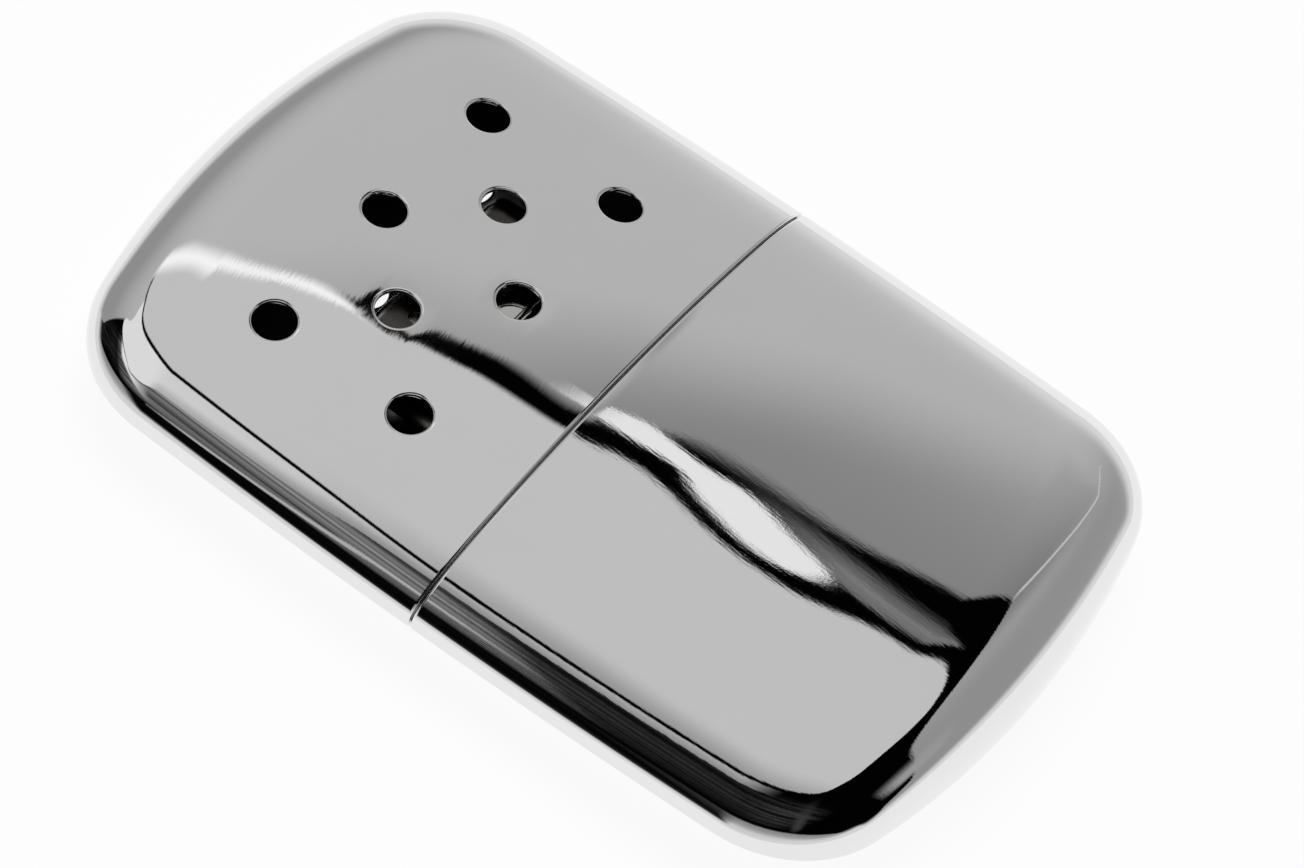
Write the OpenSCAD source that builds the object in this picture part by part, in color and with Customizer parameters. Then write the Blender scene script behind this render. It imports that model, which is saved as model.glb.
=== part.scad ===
// Catalytic pocket hand warmer: a fuel tank, a pull-off vented cover and a push-on burner.
// Frame: +X runs along the body towards the cover, +Y across it, +Z through its thickness.
// The warmer lies on its back, and the origin is under the middle of the body. Millimetres.

/* [Body] */
// Overall length, tank and cover together
body_length = 99; // [92:1:115]
// Overall width
body_width = 67; // [58:0.5:76]
// Overall thickness at the middle
body_thickness = 13.6; // [13:0.1:18]
// Thickness of the drawn sheet of both shells
sheet = 0.6; // [0.4:0.05:0.8]

/* [Outline] */
// Radius of the four corners
corner_radius = 13.4; // [12:0.1:18]
// Radius of the gently curved ends
end_radius = 102; // [70:1:200]
// Radius of the almost straight sides
side_radius = 850; // [500:10:2000]

/* [Crown and roll] */
// How far the faces fall from the middle to the sides
crown = 4; // [2:0.1:4.2]
// Width of the rolled margin all round
roll_width = 10; // [6:0.5:11]
// Fullness of the roll: 2 is an ellipse, more is squarer
roll_fullness = 2.6; // [2:0.1:3]
// Depth of the flat land pressed into the back
land_depth = 0.2; // [0.1:0.05:0.3]

/* [Seam] */
// Distance of the seam from the middle, towards the cover
seam_offset = 0.65; // [-3:0.05:3]
// Gap between the two rims when the warmer is closed
seam_gap = 0.25; // [0.1:0.05:0.4]

/* [Vent holes] */
// Diameter of a vent hole
vent_diameter = 4.5; // [3:0.1:5.5]
// Distance between two holes of a row, across the body
vent_pitch = 17.6; // [14:0.1:19]
// Distance between two rows, along the body
vent_row_pitch = 8.25; // [6:0.05:9]
// Distance of the first row from the end of the cover
vent_end_distance = 19.5; // [17:0.1:22]

/* [Tank insert] */
// Length of the insert's band inside the tank
collar_inside = 5; // [4:0.5:10]
// Height of the insert's collar above the seam
collar_height = 6.5; // [5:0.25:8]
// Thickness of the insert's wall and deck
insert_wall = 0.5; // [0.4:0.05:0.8]
// Clearance between the insert's band and both shells
collar_gap = 0.25; // [0.2:0.05:0.4]
// Distance between the two grip dimples of a face, across the body
dimple_spacing = 34; // [28:1:44]
// Diameter of a grip dimple on the collar
dimple_diameter = 3; // [2:0.25:4]
// How far a grip dimple stands out
dimple_height = 0.2; // [0.1:0.05:0.2]

/* [Filler neck] */
// Outside width of the filler neck
neck_width = 25; // [20:0.5:28]
// Outside thickness of the filler neck
neck_thickness = 7.8; // [6:0.1:8]
// Height of the filler neck above the deck
neck_height = 5; // [4.5:0.1:7]
// Length of the filler neck below the deck
neck_below = 1.6; // [1:0.1:2.5]
// Thickness of the filler neck's wall
neck_wall = 0.5; // [0.4:0.05:0.8]
// Width of the neck's flange, which is soldered to the deck
flange_width = 1.5; // [1:0.1:1.8]
// Thickness of the neck's flange
flange_thickness = 0.4; // [0.3:0.05:0.6]

/* [Burner] */
// Length of the burner housing
housing_length = 11; // [9:0.1:13]
// How far the burner housing stands out past the sleeve, all round
housing_step = 0.5; // [0.3:0.05:0.7]
// Thickness of the burner's sheet
burner_wall = 0.4; // [0.3:0.05:0.6]
// Sliding clearance between the burner's sleeve and the filler neck
sleeve_clearance = 0.1; // [0.05:0.01:0.2]
// Distance of the sleeve from the neck's flange
sleeve_lift = 0.9; // [0.5:0.1:1.2]
// Distance from the end of the neck to the burner's shoulder
shoulder_rise = 0.25; // [0.2:0.05:0.8]
// Width of a spring slit in the sleeve
slit_width = 0.8; // [0.5:0.1:1.2]
// Length of a spring slit
slit_length = 2.8; // [1.5:0.1:3]
// Distance between the two spring slits of a side
slit_spacing = 12; // [8:0.5:14]
// Width of an air slot in the housing
slot_width = 1.4; // [1:0.1:1.8]
// Length of an air slot in the housing's faces
slot_length = 5.6; // [4:0.1:6]
// Length of an air slot in the housing's end
end_slot_length = 5; // [3:0.1:6]
// Distance between two air slots
slot_pitch = 2.9; // [2.4:0.1:3.4]
// Number of air slots in each face of the housing
slot_count = 6; // [4:1:6]
// Side of a hole in the burner's screen
mesh_hole = 0.9; // [0.7:0.1:1]
// Distance between two holes of the screen
mesh_pitch = 1.5; // [1.3:0.1:2]
// Width of the screen's plain rim
mesh_rim = 0.8; // [0.5:0.1:1.2]
// Thickness of the burner's screen
mesh_thickness = 0.3; // [0.2:0.05:0.5]

/* [Packing] */
// Clearance round the soft pieces
packing_gap = 0.3; // [0.2:0.05:0.4]
// Thickness of the felt under the deck
felt_thickness = 3; // [2:0.25:4]
// Thickness of the middle layer of batting
batting_layer = 4; // [3:0.25:5]
// Depth of the wick's end below the mouth of the neck
wick_recess = 1; // [0.5:0.1:2]

/* [Hidden] */
$fn = 64;

// Colours of the finishes
chrome = [0.80, 0.80, 0.82];
nickel = [0.70, 0.70, 0.70];
tin = [0.74, 0.74, 0.72];
cotton = [0.93, 0.91, 0.86];
felt = [0.82, 0.80, 0.75];
glass_fibre = [0.60, 0.59, 0.57];

// Overlap of a cutting tool past the face that it cuts
past = 1;

// Places along the thickness: the back's flat land lies on Z = 0
half_thickness = (body_thickness + land_depth) / 2;
mid_z = half_thickness - land_depth;

// Places along the length
half_length = body_length / 2;
half_width = body_width / 2;
tank_rim = seam_offset - seam_gap / 2;
cover_rim = seam_offset + seam_gap / 2;
deck_top = seam_offset + collar_height;
deck_bottom = deck_top - insert_wall;
insert_bottom = tank_rim - collar_inside;
neck_top = deck_top + neck_height;
neck_bottom = deck_bottom - neck_below;
sleeve_bottom = deck_top + flange_thickness + sleeve_lift;
shoulder_bottom = neck_top + shoulder_rise;
housing_bottom = shoulder_bottom + burner_wall;
housing_top = housing_bottom + housing_length;
screen_bottom = housing_bottom;
mat_bottom = screen_bottom + mesh_thickness;
mat_top = housing_top - burner_wall;
felt_bottom = deck_bottom - felt_thickness;
vent_row_1 = half_length - vent_end_distance;

// Sizes across the burner, out from the filler neck
sleeve_grow = sleeve_clearance + burner_wall;
housing_width = neck_width + 2 * (sleeve_grow + housing_step);
housing_thickness = neck_thickness + 2 * (sleeve_grow + housing_step);

// How far the insert and the packing lie inside the body's outer surface
insert_inset = sheet + collar_gap;
packing_inset = insert_inset + insert_wall + packing_gap;

// --- Outline of the body: an arc for the end, one for the corner and one for the side ---

end_centre = half_length - end_radius;
side_centre = half_width - side_radius;
// The corner's centre lies where two circles about those centres meet
end_reach = end_radius - corner_radius;
side_reach = side_radius - corner_radius;
centres_apart = norm([end_centre, side_centre]);
foot = (pow(end_reach, 2) - pow(side_reach, 2) + pow(centres_apart, 2)) / (2 * centres_apart);
rise = sqrt(pow(end_reach, 2) - pow(foot, 2));
towards_side = [-end_centre, side_centre] / centres_apart;
corner_x = end_centre + foot * towards_side[0] - rise * towards_side[1];
corner_y = foot * towards_side[1] + rise * towards_side[0];
end_angle = atan2(corner_y, corner_x - end_centre);
side_angle = atan2(corner_y - side_centre, corner_x);

// Angles of the outline's normal over one quarter, with so many steps on each arc
function quarter_angles(end_steps, corner_steps, side_steps) = concat(
    [for (i = [0 : end_steps - 1]) end_angle * i / end_steps],
    [for (i = [0 : corner_steps - 1]) end_angle + (side_angle - end_angle) * i / corner_steps],
    [for (i = [0 : side_steps]) side_angle + (90 - side_angle) * i / side_steps]);

// Point of the first quarter's outline at normal angle a, moved in by inset
function outline_point(a, inset) =
    a < end_angle ? [end_centre + (end_radius - inset) * cos(a), (end_radius - inset) * sin(a)]
    : a < side_angle ? [corner_x + (corner_radius - inset) * cos(a),
                        corner_y + (corner_radius - inset) * sin(a)]
    : [(side_radius - inset) * cos(a), side_centre + (side_radius - inset) * sin(a)];

// The whole outline, quarter by quarter, each one the first one mirrored
function outline_ring(angles, inset) =
    let (m = len(angles) - 1)
    [for (i = [0 : 4 * m - 1])
        let (quarter = floor(i / m), j = i % m,
             p = outline_point(angles[quarter % 2 == 0 ? j : m - j], inset))
        [quarter == 0 || quarter == 3 ? p[0] : -p[0], quarter < 2 ? p[1] : -p[1]]];

// --- Height of the faces: crowned across the body, and rolled over at the margin ---

// Distance in from the margin and share of the height at step t of the roll, 0 to 90 degrees
function roll_in(t, width) = width * (1 - pow(cos(t), 2 / roll_fullness));
function roll_share(t) = pow(sin(t), 2 / roll_fullness);
// Height of the crowned face over the middle plane, moved in by inset
function face_height(y, inset) = half_thickness - inset - crown * pow(y / half_width, 2);
// The back is the front mirrored, but no lower than its flat land
function back_height(h, inset) = min(h, mid_z - inset);

// Both faces of the body moved in by inset: rings up the roll, then strips across the crown
module pillow(inset, end_steps = 5, corner_steps = 10, side_steps = 3, roll_steps = 7) {
    angles = quarter_angles(end_steps, corner_steps, side_steps);
    m = len(angles) - 1;
    n = 4 * m;
    rings = 2 * roll_steps + 1;
    points = [for (k = [-roll_steps : roll_steps])
        let (t = 90 * abs(k) / roll_steps, share = roll_share(t))
        for (p = outline_ring(angles, inset + roll_in(t, roll_width - inset)))
            let (h = share * face_height(p[1], inset))
            [p[0], p[1], mid_z + (k < 0 ? -back_height(h, inset) : h)]];
    walls = [for (k = [0 : rings - 2]) for (i = [0 : n - 1])
        let (a = k * n + i, b = k * n + (i + 1) % n)
        for (f = [[a, a + n, b + n], [a, b + n, b]]) f];
    strips = [for (i = [0 : m - 1]) for (f = i == m - 1
        ? [[i, i + 1, i + 2], [2 * m + i, 2 * m + i + 1, 2 * m + i + 2]]
        : [[i, i + 1, 2 * m - i - 1], [i, 2 * m - i - 1, 2 * m - i],
           [2 * m + i, 2 * m + i + 1, n - i - 1], [2 * m + i, n - i - 1, (n - i) % n]]) f];
    top = (rings - 1) * n;
    polyhedron(points, concat(walls, strips, [for (f = strips) [top + f[2], top + f[1], top + f[0]]]));
}

// Section across the body at distance x from the middle, moved in by inset, as Y and Z
function half_section(x, inset, roll_steps, crown_steps) =
    let (side = side_centre + sqrt(pow(side_radius, 2) - pow(x, 2)) - inset,
         flat = side - (roll_width - inset))
    concat(
        [for (k = [0 : roll_steps]) let (t = 90 * k / roll_steps,
            y = side - roll_in(t, roll_width - inset)) [y, roll_share(t) * face_height(y, inset)]],
        [for (k = [1 : 2 * crown_steps - 1]) let (y = flat * (1 - k / crown_steps))
            [y, face_height(y, inset)]],
        [for (k = [roll_steps : -1 : 0]) let (t = 90 * k / roll_steps,
            y = side - roll_in(t, roll_width - inset)) [-y, roll_share(t) * face_height(y, inset)]]);

module section(x, inset, roll_steps = 6, crown_steps = 5) {
    front = half_section(x, inset, roll_steps, crown_steps);
    back = [for (i = [len(front) - 2 : -1 : 1])
        [front[i][0], mid_z - back_height(front[i][1], inset)]];
    polygon(concat([for (p = front) [p[0], mid_z + p[1]]], back));
}

// Extrudes a shape drawn in Y and Z along X, from x0 to x1
module along(x0, x1) {
    translate([x0, 0, 0]) rotate([90, 0, 90]) linear_extrude(height = x1 - x0) children();
}

// Round-ended oblong in Y and Z, centred on the body
module oblong(width, thickness) {
    translate([0, mid_z]) {
        square([width - thickness, thickness], center = true);
        for (side = [-1, 1]) translate([side * (width - thickness) / 2, 0]) circle(d = thickness);
    }
}

module neck_oblong(grow) {
    oblong(neck_width + 2 * grow, neck_thickness + 2 * grow);
}

module housing_oblong(grow) {
    oblong(housing_width + 2 * grow, housing_thickness + 2 * grow);
}

// Everything on the tank's side of x, or on the cover's side of it
module tank_side(x) {
    translate([x - body_length, -body_width, -body_thickness])
        cube([body_length, 2 * body_width, 3 * body_thickness]);
}

module cover_side(x) {
    translate([x, -body_width, -body_thickness])
        cube([body_length, 2 * body_width, 3 * body_thickness]);
}

// Drawn shell: the body's outer surface less the same surface one sheet further in
module body_skin() {
    difference() {
        pillow(0);
        pillow(sheet);
    }
}

// Three, two and three vent holes, through both faces of the cover
module vent_holes() {
    for (row = [0 : 2]) for (column = row == 1 ? [-0.5, 0.5] : [-1 : 1])
        translate([vent_row_1 - row * vent_row_pitch, column * vent_pitch, -past])
            cylinder(h = body_thickness + 2 * past, d = vent_diameter);
}

// --- Fuel tank ---

module tank_shell() {
    color(chrome) intersection() {
        body_skin();
        tank_side(tank_rim);
    }
}

// Cup pressed into the tank's mouth: its band is the cover's collar and its end is the deck
module tank_insert() {
    color(tin) {
        difference() {
            along(insert_bottom, deck_top) section(deck_top, insert_inset);
            along(insert_bottom - past, deck_bottom) section(deck_top, insert_inset + insert_wall);
            along(deck_bottom - past, deck_top + past) neck_oblong(0);
        }
        for (side = [-1, 1]) for (face = [-1, 1])
            grip_dimple(side * dimple_spacing / 2, face);
    }
}

// Low dimple on the front or the back of the collar that grips the cover: a ball's cap
module grip_dimple(y, face) {
    ball = (pow(dimple_diameter / 2, 2) + pow(dimple_height, 2)) / (2 * dimple_height);
    wall = insert_wall / 2;
    height = face_height(y, insert_inset);
    surface = face > 0 ? height : -back_height(height, insert_inset);
    translate([(cover_rim + deck_top) / 2, y, mid_z + surface])
        intersection() {
            translate([0, 0, face * (dimple_height - ball)]) sphere(r = ball);
            translate([0, 0, face * (dimple_height - wall) / 2])
                cube([dimple_diameter, dimple_diameter, dimple_height + wall], center = true);
        }
}

// Round-ended spout through the deck, with a flange that lies on the deck
module filler_neck() {
    color(tin) difference() {
        union() {
            along(neck_bottom, neck_top) neck_oblong(0);
            along(deck_top, deck_top + flange_thickness) neck_oblong(flange_width);
        }
        along(neck_bottom - past, neck_top + past) neck_oblong(-neck_wall);
    }
}

// Cotton in the neck, from the batting up
module neck_wick() {
    color(cotton) along(felt_bottom, neck_top - wick_recess)
        neck_oblong(-neck_wall - packing_gap);
}

// Felt under the deck, cut out for the neck and the wick
module felt_pad() {
    color(felt) difference() {
        along(felt_bottom, deck_bottom) section(deck_top, packing_inset);
        along(felt_bottom - past, deck_bottom + past) neck_oblong(packing_gap);
    }
}

// Cotton in the tank, from the felt down, between two heights over the middle plane
module batting(low, high) {
    color(cotton) intersection() {
        pillow(packing_inset, end_steps = 3, corner_steps = 5, side_steps = 2, roll_steps = 3);
        tank_side(felt_bottom);
        translate([-body_length, -body_width, mid_z + low])
            cube([2 * body_length, 2 * body_width, high - low]);
    }
}

module batting_front() {
    batting(batting_layer / 2, body_thickness);
}

module batting_middle() {
    batting(-batting_layer / 2, batting_layer / 2);
}

module batting_back() {
    batting(-body_thickness, -batting_layer / 2);
}

// --- Cover ---

module cover_shell() {
    color(chrome) difference() {
        intersection() {
            body_skin();
            cover_side(cover_rim);
        }
        vent_holes();
    }
}

// --- Burner ---

// Skirt that slides over the filler neck, with its shoulder under the housing
module burner_sleeve() {
    color(nickel) difference() {
        union() {
            along(sleeve_bottom, housing_bottom) neck_oblong(sleeve_grow);
            along(shoulder_bottom, housing_bottom) housing_oblong(0);
        }
        along(sleeve_bottom - past, housing_bottom + past) neck_oblong(sleeve_clearance);
        spring_slits();
    }
}

// Two slits through each flat side of the skirt, which make it springy
module spring_slits() {
    for (side = [-1, 1])
        translate([sleeve_bottom - past, (side * slit_spacing - slit_width) / 2, 0])
            cube([slit_length + past, slit_width, body_thickness]);
}

// Cap round the catalyst, open to the sleeve, with air slots in both faces and in its end
module burner_housing() {
    color(nickel) difference() {
        along(housing_bottom, housing_top) housing_oblong(0);
        along(housing_bottom - past, housing_top - burner_wall) housing_oblong(-burner_wall);
        face_slots();
        end_slots();
    }
}

// Position of slot i of a row of slots across the burner
function slot_y(i) = (i - (slot_count - 1) / 2) * slot_pitch;

module face_slots() {
    middle = (housing_bottom + housing_top) / 2;
    straight = slot_length - slot_width;
    for (i = [0 : slot_count - 1]) translate([middle, slot_y(i), 0])
        linear_extrude(height = body_thickness) {
            square([straight, slot_width], center = true);
            for (end = [-1, 1]) translate([end * straight / 2, 0]) circle(d = slot_width);
        }
}

module end_slots() {
    straight = end_slot_length - slot_width;
    along(housing_top - burner_wall - past, housing_top + past)
        for (i = [0 : slot_count - 1]) translate([slot_y(i), mid_z]) {
            square([slot_width, straight], center = true);
            for (end = [-1, 1]) translate([0, end * straight / 2]) circle(d = slot_width);
        }
}

// Gauze on the shoulder that carries the catalyst
module burner_screen() {
    // The holes fill an oblong: its straight half-width, and the radius of its round ends
    straight = (housing_width - housing_thickness) / 2;
    end_r = housing_thickness / 2 - burner_wall - mesh_rim - mesh_hole / 2;
    columns = floor((straight + end_r) / mesh_pitch);
    color(nickel) along(screen_bottom, screen_bottom + mesh_thickness) difference() {
        housing_oblong(-burner_wall);
        for (column = [-columns : columns]) {
            into_end = max(0, abs(column) * mesh_pitch - straight);
            rows = floor(sqrt(pow(end_r, 2) - pow(into_end, 2)) / mesh_pitch);
            for (row = [-rows : rows])
                translate([column * mesh_pitch, mid_z + row * mesh_pitch])
                    square(mesh_hole, center = true);
        }
    }
}

module catalyst_mat() {
    color(glass_fibre) along(mat_bottom, mat_top) housing_oblong(-burner_wall - packing_gap);
}

tank_shell();
tank_insert();
filler_neck();
neck_wick();
felt_pad();
batting_front();
batting_middle();
batting_back();
cover_shell();
burner_sleeve();
burner_housing();
burner_screen();
catalyst_mat();
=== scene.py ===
"""Looks of the catalytic hand warmer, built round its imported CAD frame.

Sizes are in millimetres in the shape code and become metres as a mesh is made.
+X runs along the body towards the cover's end, +Y across it, +Z out of its front face.
"""

import logging
import math
from dataclasses import dataclass
from enum import Enum

import bmesh
import bpy
import numpy as np
from mathutils import Matrix, Vector


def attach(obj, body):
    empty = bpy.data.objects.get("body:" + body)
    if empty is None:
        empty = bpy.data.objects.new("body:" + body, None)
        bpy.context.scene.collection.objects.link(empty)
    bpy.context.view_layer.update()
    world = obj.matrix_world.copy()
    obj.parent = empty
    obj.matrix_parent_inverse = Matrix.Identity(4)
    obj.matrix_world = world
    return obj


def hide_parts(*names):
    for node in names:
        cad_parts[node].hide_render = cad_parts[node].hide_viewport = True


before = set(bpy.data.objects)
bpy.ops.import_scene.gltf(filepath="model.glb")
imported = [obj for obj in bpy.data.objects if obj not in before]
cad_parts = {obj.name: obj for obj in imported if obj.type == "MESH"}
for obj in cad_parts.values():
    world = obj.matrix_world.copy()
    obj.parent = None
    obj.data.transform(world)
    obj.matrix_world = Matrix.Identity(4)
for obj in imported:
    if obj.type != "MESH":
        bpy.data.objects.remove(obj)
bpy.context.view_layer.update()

MM = 0.001
LOG = logging.getLogger("hand_warmer")


class Slot(Enum):
    """The record's material slots, listed beside the soft pieces but not given to them."""

    CHROME = "chrome_shell"
    TIN = "tinned_steel"
    NICKEL = "nickel_plate"
    COTTON = "cotton"
    FELT = "felt"
    GLASS = "glass_fibre"


# --- Shape of the body -------------------------------------------------------------------


@dataclass(frozen=True)
class BodyForm:
    """Pillow shape of the warmer: a three-arc outline, a crown and a rolled margin."""

    length: float = 99.0
    width: float = 67.0
    thickness: float = 13.6
    sheet: float = 0.6
    corner_radius: float = 13.4
    end_radius: float = 102.0
    side_radius: float = 850.0
    crown: float = 4.0
    roll_width: float = 10.0
    fullness: float = 2.6
    land: float = 0.2
    land_blend: float = 0.03

    @property
    def half_thickness(self) -> float:
        """Height of the front face's middle over the middle plane."""
        return (self.thickness + self.land) / 2

    @property
    def mid_z(self) -> float:
        """Height of the middle plane over the table."""
        return self.half_thickness - self.land

    @property
    def centres(self) -> tuple[float, float, np.ndarray]:
        """End arc's centre along X, side arc's centre along Y, and the corner arc's centre.

        The corner's centre lies where two circles about the other two centres meet.

        Returns:
            The centres, for the quarter where X and Y are positive.
        """
        end = self.length / 2 - self.end_radius
        side = self.width / 2 - self.side_radius
        end_reach = self.end_radius - self.corner_radius
        side_reach = self.side_radius - self.corner_radius
        apart = math.hypot(end, side)
        foot = (end_reach**2 - side_reach**2 + apart**2) / (2 * apart)
        rise = math.sqrt(end_reach**2 - foot**2)
        toward = np.array([-end, side]) / apart
        corner = np.array([end + foot * toward[0] - rise * toward[1],
                           foot * toward[1] + rise * toward[0]])
        return end, side, corner

    @property
    def turns(self) -> tuple[float, float]:
        """Normal angles at which the end arc and the side arc meet the corner arc.

        Returns:
            The two angles, in radians.
        """
        end, side, corner = self.centres
        return (math.atan2(corner[1], corner[0] - end),
                math.atan2(corner[1] - side, corner[0]))

    def edge_x(self, y: np.ndarray, inset: float) -> np.ndarray:
        """X of the outline, moved in by inset, at distance y from the middle line.

        Args:
            y: distance from the middle line.
            inset: how far the outline is moved in.

        Returns:
            X of the outline at its +X end.
        """
        end, _, corner = self.centres
        y = np.abs(y)
        small = self.corner_radius - inset
        meet = corner[1] + small * math.sin(self.turns[0])
        far = end + np.sqrt((self.end_radius - inset) ** 2 - y**2)
        near = corner[0] + np.sqrt(np.maximum(small**2 - (y - corner[1]) ** 2, 0))
        return np.where(y <= meet, far, near)

    def edge_y(self, x: np.ndarray, inset: float) -> np.ndarray:
        """Y of the outline, moved in by inset, at distance x from the middle.

        Args:
            x: distance from the middle.
            inset: how far the outline is moved in.

        Returns:
            Y of the outline on its +Y side.
        """
        _, side, corner = self.centres
        x = np.abs(x)
        small = self.corner_radius - inset
        meet = corner[0] + small * math.cos(self.turns[1])
        flat = side + np.sqrt((self.side_radius - inset) ** 2 - x**2)
        bend = corner[1] + np.sqrt(np.maximum(small**2 - (x - corner[0]) ** 2, 0))
        return np.where(x <= meet, flat, bend)

    def outward(self, x: np.ndarray, y: np.ndarray) -> np.ndarray:
        """Unit normal of the outline's family of offset curves at a point of it.

        It points away from the centre of the arc that the point's angle falls in.

        Args:
            x: X of the points.
            y: Y of the points.

        Returns:
            Unit vectors in the plan, one a point.
        """
        end, side, corner = self.centres
        ax, ay = np.abs(x), np.abs(y)
        angle = np.arctan2(ay - corner[1], ax - corner[0])
        at_end, at_side = angle < self.turns[0] + 1e-9, angle >= self.turns[1] - 1e-9
        centre_x = np.where(at_end, end, np.where(at_side, 0.0, corner[0]))
        centre_y = np.where(at_end, 0.0, np.where(at_side, side, corner[1]))
        direction = np.stack([ax - centre_x, ay - centre_y], -1)
        direction /= np.linalg.norm(direction, axis=-1, keepdims=True)
        return direction * np.stack([np.where(x < 0, -1, 1), np.where(y < 0, -1, 1)], -1)

    def depth_in(self, x: np.ndarray, y: np.ndarray) -> np.ndarray:
        """Distance of a point in from the outline.

        Args:
            x: X of the points.
            y: Y of the points.

        Returns:
            The distance of each.
        """
        end, side, corner = self.centres
        ax, ay = np.abs(x), np.abs(y)
        angle = np.arctan2(ay - corner[1], ax - corner[0])
        from_corner = self.corner_radius - np.hypot(ax - corner[0], ay - corner[1])
        from_end = self.end_radius - np.hypot(ax - end, ay)
        from_side = self.side_radius - np.hypot(ax, ay - side)
        in_corner = (angle >= self.turns[0]) & (angle <= self.turns[1])
        return np.where(in_corner, from_corner, np.minimum(from_end, from_side))

    def face(self, y: np.ndarray, inset: float) -> np.ndarray:
        """Height of the crowned face over the middle plane: a parabola across the body."""
        return self.half_thickness - inset - self.crown * (y / (self.width / 2)) ** 2

    def back(self, height: np.ndarray, inset: float) -> np.ndarray:
        """Depth of the back under the middle plane: the front's height, held to the land's.

        The hold is a soft minimum, so that the crown runs into the flat land smoothly.
        """
        limit, soft = self.mid_z - inset, self.land_blend
        return -soft * np.logaddexp(-height / soft, -limit / soft)

    def roll_reach(self, t: np.ndarray) -> np.ndarray:
        """Share of the roll's width still to go outwards at step t of the roll."""
        return np.cos(t) ** (2 / self.fullness)

    def roll_share(self, t: np.ndarray) -> np.ndarray:
        """Share of the face's height at step t of the roll, 0 at the middle plane."""
        return np.sin(t) ** (2 / self.fullness)

    def roll_steps(self, count: int) -> np.ndarray:
        """Steps t from the face to the middle plane, even in the polar angle of the roll.

        Args:
            count: number of steps.

        Returns:
            The steps, from pi / 2 down to 0.
        """
        polar = np.linspace(math.pi / 2, 0, count + 1)
        inner = np.arctan(np.tan(polar[1:-1]) ** (self.fullness / 2))
        return np.concatenate([[math.pi / 2], inner, [0.0]])


FORM = BodyForm()
DECK_X = 7.15
NECK_RADIUS = 3.9
NECK_STRAIGHT = 8.6


# --- Meshes ------------------------------------------------------------------------------


def points_of(x: np.ndarray, y: np.ndarray, height: np.ndarray) -> np.ndarray:
    """Points, one a row, from X, Y and the height over the body's middle plane."""
    x, y, height = np.broadcast_arrays(x, y, height)
    return np.stack([x, y, FORM.mid_z + height], -1).reshape(-1, 3)


def stretches(ends: tuple[float, ...], cells: tuple[int, ...]) -> np.ndarray:
    """Places from one end to the next in even cells, each stretch with its own count.

    Args:
        ends: ends of the stretches, in order.
        cells: cells in each stretch.

    Returns:
        The places, with both ends.
    """
    parts = [np.linspace(low, high, count + 1)[1:]
             for low, high, count in zip(ends[:-1], ends[1:], cells)]
    return np.concatenate([ends[:1], *parts])


def border(grid: np.ndarray) -> np.ndarray:
    """Outer values of a half's grid: up one side, across its end, back down the other."""
    return np.concatenate([grid[:, -1], grid[-1, -2::-1], grid[-2::-1, 0]])


def grid_quads(rows: int, columns: int, wrap: bool = False) -> np.ndarray:
    """Quads of a grid of points numbered row by row.

    Args:
        rows: number of rows of points.
        columns: number of points in a row.
        wrap: whether each row is a closed loop.

    Returns:
        One row of four point numbers a cell: a, next in the row, diagonal, next row.
    """
    last = columns if wrap else columns - 1
    row, column = np.meshgrid(np.arange(rows - 1), np.arange(last), indexing="ij")
    following = (column + 1) % columns
    corners = [row * columns + column, row * columns + following,
               (row + 1) * columns + following, (row + 1) * columns + column]
    return np.stack([c.ravel() for c in corners], -1)


def weld(points: np.ndarray, quads: np.ndarray, places: int = 5) -> tuple[np.ndarray, np.ndarray]:
    """Joins points that coincide, to so many decimal places of a millimetre.

    Args:
        points: points, one a row; further columns are carried along.
        quads: quads on them.
        places: decimal places that have to agree.

    Returns:
        The points that are left, and the quads renumbered.
    """
    _, first, number = np.unique(np.round(points[:, :3], places) + 0.0, axis=0,
                                 return_index=True, return_inverse=True)
    return points[first], number.ravel()[quads]


def tidy_faces(quads: np.ndarray) -> list[list[int]]:
    """Faces without repeated corners: a quad that closes on itself becomes a triangle.

    Args:
        quads: four point numbers a face.

    Returns:
        Three or four point numbers a face.
    """
    repeated = quads == np.roll(quads, -1, axis=1)
    whole = quads[~repeated.any(1)].tolist()
    for quad, double in zip(quads[repeated.sum(1) == 1], repeated[repeated.sum(1) == 1]):
        whole.append(quad[~double].tolist())
    return whole


def make_piece(name: str, points: np.ndarray, quads: np.ndarray) -> bpy.types.Object:
    """Puts points in millimetres and quads into a smooth-shaded mesh object.

    Args:
        name: the piece's name.
        points: points in the row frame, in millimetres.
        quads: four point numbers a face, anticlockwise seen from outside.

    Returns:
        The new object, at the origin.
    """
    mesh = bpy.data.meshes.new(name)
    mesh.from_pydata((points * MM).tolist(), [], tidy_faces(quads))
    mesh.validate()
    mesh.polygons.foreach_set("use_smooth", np.ones(len(mesh.polygons), bool))
    mesh.update()
    piece = bpy.data.objects.new(name, mesh)
    bpy.context.scene.collection.objects.link(piece)
    return piece


@dataclass(frozen=True)
class EdgeRound:
    """Rounded edge of a sheet: how far it is pushed out, and how deep, step by step."""

    push: tuple[float, ...] = (0.20, 0.50, 0.75, 0.93, 1.0, 1.0, 0.93, 0.71, 0.21)
    depth: tuple[float, ...] = (0.0, 0.03, 0.08, 0.16, 0.27, 0.76, 0.88, 0.97, 1.0)


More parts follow.
